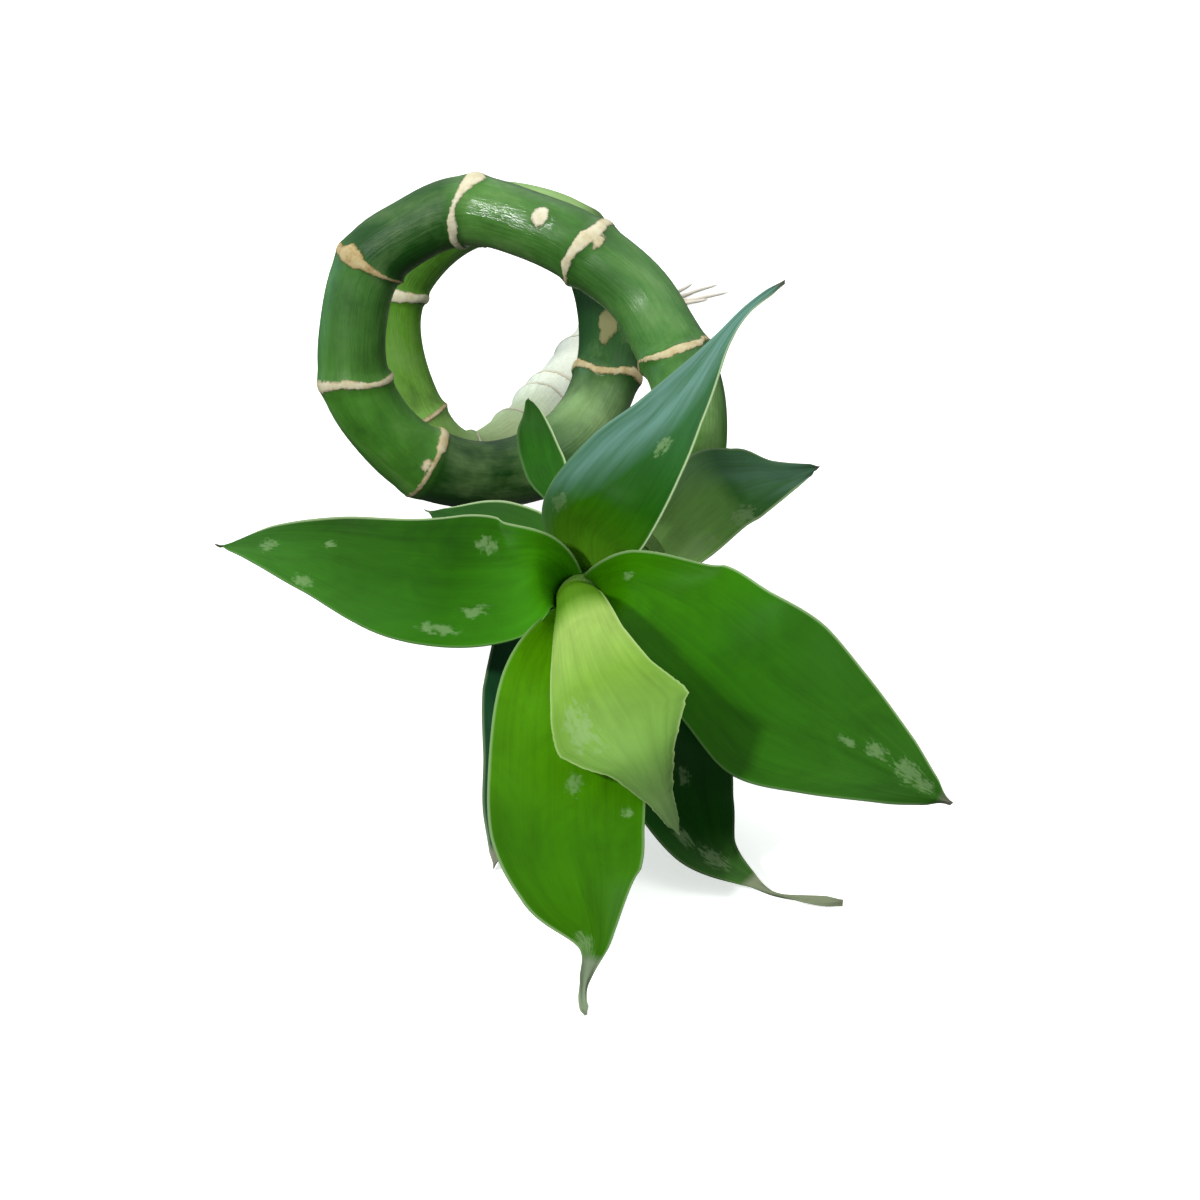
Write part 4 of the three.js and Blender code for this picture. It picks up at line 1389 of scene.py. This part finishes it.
@dataclass
class Roots:
    """The healed end of the cane and the short roots that grow from it."""

    line: CaneLine
    finish: RootFinish = RootFinish()
    seed: int = 71
    count: int = 9
    sides: int = 10
    rows: int = 40
    thick: float = 0.75            # radius where a root starts
    thin: float = 0.3              # and at its tip
    lengths: tuple[float, float] = (13.0, 24.0)    # of the shortest and the longest
    fan: tuple[float, float] = (-0.9, 1.35)        # radians off +Y, at the fan's two sides
    spacing: tuple[float, float] = (0.2, 0.6)      # where in its part of the fan a root may start
    off_centre: float = 0.5        # share of the cane's radius at which roots start
    start_past: float = 0.9        # how far past the cut they start
    bends: tuple[float, ...] = (0, 0.18, 0.4, 0.7, 1)   # shares of a root's length
    sway: float = 0.12             # by how much of its length it bends aside
    settled: float = 0.45          # share of its length at which it lies on the surface
    tip_slope: float = 12.0        # how fast it narrows at its very tip
    tip_share: float = 0.1         # how much of its radius is left there
    uneven: float = 0.15           # how far its skin is lumpy, as a share of its radius
    lumps: float = 0.9             # how many of those lie in a millimetre
    trim_gap: float = 0.05         # between the cane and the healed tissue
    callus_depth: float = 2.6
    callus_sides: int = 40
    callus_uneven: float = 0.08    # how far the healed tissue is lumpy, as a share of its radius
    callus_lumps: float = 2.4      # how many of those lie across half of it
    # Shares of the healed tissue's depth and of the cane's radius.
    callus: tuple[tuple[float, float], ...] = (
        (0.0, 0.02), (0.0, 0.5), (0.0, 0.98), (0.2, 1.0), (0.5, 0.96), (0.8, 0.8),
        (0.95, 0.55), (1.0, 0.3), (1.0, 0.02),
    )

    def build(self) -> bpy.types.Object:
        """Makes the healed end and the roots as one piece.

        Returns:
            The finished piece.
        """
        foot = self.line.station(0.0)
        away = -foot.along
        cut = foot.point + away * (FOOT_LENGTH + self.trim_gap)
        bm = bmesh.new()
        reach_layer = bm.verts.layers.float.new("reach")
        face = upright_to(Vector((0, 0, 1)), away)
        across = away.cross(face)

        def healed(row: int, side: int) -> Vector:
            """Gives a point of the healed end.

            Args:
                row: The number of its ring.
                side: Its number in that ring.

            Returns:
                Its place in the part's frame.
            """
            depth, width = self.callus[row]
            turn = math.tau * side / self.callus_sides
            way = face * math.cos(turn) + across * math.sin(turn)
            lumps = way * self.callus_lumps + Vector((depth, 0, 0))
            lump = 1 + self.callus_uneven * noise.noise(lumps)
            spot = cut + away * (depth * self.callus_depth) + way * (width * foot.radius * lump)
            spot.z = max(spot.z, FLOOR_GAP)
            return to_part(spot)

        tube(bm, len(self.callus), self.callus_sides, healed)
        draws = seeded(self.seed)
        for number in range(self.count):
            share = (number + self.spacing[0] + self.spacing[1] * next(draws)) / self.count
            turn = lerp(self.fan[0], self.fan[1], share)
            length = lerp(self.lengths[0], self.lengths[1], next(draws))
            self.grow_root(bm, reach_layer, cut, foot.radius, turn, length, draws)
        piece = mesh_piece(bm, "root_tuft")
        piece.data.materials.append(self.finish.material())
        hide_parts("roots")
        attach(piece, "root")
        return piece

    def grow_root(
        self,
        bm: bmesh.types.BMesh,
        reach_layer: bmesh.types.BMLayerItem,
        cut: Vector,
        radius: float,
        turn: float,
        length: float,
        draws: Iterator[float],
    ) -> None:
        """Adds one root: out of the healed end, down to the surface and along it.

        Args:
            bm: The mesh that takes it.
            reach_layer: The attribute that runs from 0 at its start to 1 at its tip.
            cut: The middle of the cane's cut end.
            radius: The cane's radius there.
            turn: How far it turns off +Y, in radians.
            length: How long it is.
            draws: Where its bends are drawn from.
        """
        way = Vector((math.sin(turn), math.cos(turn), 0))
        across = Vector((way.y, -way.x, 0))
        aside = self.off_centre * radius * math.sin(turn)
        lowered = self.off_centre * radius * next(draws)
        start = cut + Vector((aside, self.start_past, -lowered))
        points = []
        for along in self.bends:
            sway = self.sway * length * along * (next(draws) - 0.5)
            point = start + way * (along * length) + across * sway
            point.z = lerp(start.z, self.thick, smoothstep(0, self.settled, along))
            points.append(point)
        line = SmoothLine(points)
        face = Vector((0, 0, 1))
        frames = []
        for row in range(self.rows + 1):
            t = row / self.rows
            direction = line.way(t)
            face = upright_to(face, direction)
            frames.append((line.at(t), direction, face, t))

        def place(row: int, side: int) -> Vector:
            """Gives a point of the root's skin.

            Args:
                row: The number of its ring.
                side: Its number in that ring.

            Returns:
                Its place in the part's frame.
            """
            point, direction, out, t = frames[row]
            narrowed = min(1.0, (1 - t) * self.tip_slope + self.tip_share)
            width = lerp(self.thick, self.thin, t) * narrowed
            angle = math.tau * side / self.sides
            skin = out * math.cos(angle) + direction.cross(out) * math.sin(angle)
            lump = 1 + self.uneven * noise.noise(point * self.lumps + skin)
            spot = point + skin * width * lump
            spot.z = max(spot.z, FLOOR_GAP)
            return to_part(spot)

        def mark(vert: bmesh.types.BMVert, row: int, side: int) -> None:
            """Writes how far along the root one point lies."""
            vert[reach_layer] = row / self.rows

        tube(bm, self.rows + 1, self.sides, place, mark)


# ---------------------------------------------------------------- the studio


@dataclass(frozen=True)
class SoftLight:
    """A soft square light that looks at the plant.

    Attributes:
        name: Its name.
        place: Where it hangs, in metres.
        size: The length of its side, in metres.
        power: In watts.
        colour: Its red, green and blue.
    """

    name: str
    place: tuple[float, float, float]
    size: float
    power: float
    colour: tuple[float, float, float] = (1.0, 1.0, 1.0)

    def hang(self, target: Vector) -> None:
        """Adds the light to the scene.

        Args:
            target: Where it looks, in metres.
        """
        light = bpy.data.lights.new(self.name, "AREA")
        light.size = self.size
        light.energy = self.power
        light.color = self.colour
        holder = bpy.data.objects.new(self.name, light)
        holder.location = self.place
        aim = target - Vector(self.place)
        holder.rotation_euler = aim.to_track_quat("-Z", "Y").to_euler()
        bpy.context.collection.objects.link(holder)


# Daylight from two windows and the sky, a small lamp for the streak of shine on the near coil, and
# a cool light from one side for a bluish sheen on the blades that look that way.
LIGHTS = (
    SoftLight("window", place=(0.36, -0.07, 0.56), size=0.4, power=1.0),
    SoftLight("second_window", place=(-0.25, -0.3, 0.6), size=0.4, power=0.6),
    SoftLight("lamp", place=(-0.32, -0.52, 0.41), size=0.05, power=3.0),
    SoftLight("sky", place=(-0.2, 0.5, 0.8), size=0.9, power=2.2),
    SoftLight("cool_side", place=(-0.62, 0.25, 0.14), size=0.35, power=0.9,
              colour=(0.45, 0.75, 1.0)),
)


@dataclass
class Studio:
    """The pale floor, the soft light and the camera at the photograph's place.

    Attributes:
        floor_size: The length of the floor's side, in metres.
        floor_glow: How strongly the floor glows.
        room_above: How bright the room is from above.
        room_below: How bright it is from below.
        target: Where the lights look, in metres.
        lens: The camera's focal length, in millimetres.
        sensor: The width of its film, in millimetres.
        near: The nearest that it sees, in metres.
        eye: Where it stands, in metres.
        pitch: How far it looks up from straight down, in degrees.
    """

    floor_size: float = 8.0
    floor_glow: float = 0.6
    room_above: float = 0.55
    room_below: float = 0.08
    target: tuple[float, float, float] = (0.0, -0.03, 0.03)
    lens: float = 64.5
    sensor: float = 36.0
    near: float = 0.01
    eye: tuple[float, float, float] = (0.0054, -0.3456, 0.1468)
    pitch: float = 65.0

    def build(self) -> None:
        """Makes the floor, the lights, the world and the camera."""
        bpy.context.scene.view_settings.view_transform = "Standard"
        self.lay_floor()
        self.light_room()
        for light in LIGHTS:
            light.hang(Vector(self.target))
        self.place_camera()

    def lay_floor(self) -> None:
        """Lays a sheet of matt white paper under the plant."""
        bm = bmesh.new()
        bmesh.ops.create_grid(bm, x_segments=1, y_segments=1, size=self.floor_size / 2)
        floor = mesh_piece(bm, "floor")
        paper, tree = new_material("matt_paper")
        shader = add_node(
            tree, "BsdfPrincipled",
            {"Base Color": linear("#f4f4f2"), "Roughness": 0.9,
             "Emission Color": linear("#f7fbf6"), "Emission Strength": self.floor_glow})
        add_node(tree, "OutputMaterial", {}, {"Surface": shader})
        floor.data.materials.append(paper)
        # The paper glows to wash out shadows, and that glow is kept off the plant.
        floor.visible_diffuse = False
        floor.visible_glossy = False

    def light_room(self) -> None:
        """Makes the world a pale room that is bright above and dim below."""
        world = bpy.data.worlds.new("pale_room")
        world.use_nodes = True
        tree = world.node_tree
        tree.nodes.clear()
        height = add_node(
            tree, "SeparateXYZ", {}, {"Vector": add_node(tree, "TexCoord")}).outputs["Z"]
        strength = add_node(
            tree, "MapRange", {"From Min": -0.15, "From Max": 0.35, "To Min": self.room_below,
                               "To Max": self.room_above}, {"Value": height})
        room = add_node(
            tree, "Background", {"Color": (0.96, 0.99, 1.0, 1.0)}, {"Strength": strength})
        add_node(tree, "OutputWorld", {}, {"Surface": room})
        bpy.context.scene.world = world

    def place_camera(self) -> None:
        """Puts the camera where the photograph was taken from."""
        camera = bpy.data.cameras.new("camera")
        camera.lens = self.lens
        camera.sensor_width = self.sensor
        camera.clip_start = self.near
        holder = bpy.data.objects.new("camera", camera)
        holder.location = self.eye
        holder.rotation_euler = (math.radians(self.pitch), 0.0, 0.0)
        bpy.context.collection.objects.link(holder)
        bpy.context.scene.camera = holder


def main() -> None:
    """Builds the plant and the studio, and logs how many faces each piece has."""
    logging.basicConfig(level=logging.INFO)
    line = CaneLine()
    shoot = ShootSkin(line)
    Studio().build()
    pieces = [Cane(line).build(), Roots(line).build()]
    pieces += [leaf.build(line, shoot) for leaf in LEAVES]
    for piece in pieces:
        LOG.info("%s: %d faces", piece.name, len(piece.data.polygons))


if __name__ == "__main__":
    main()
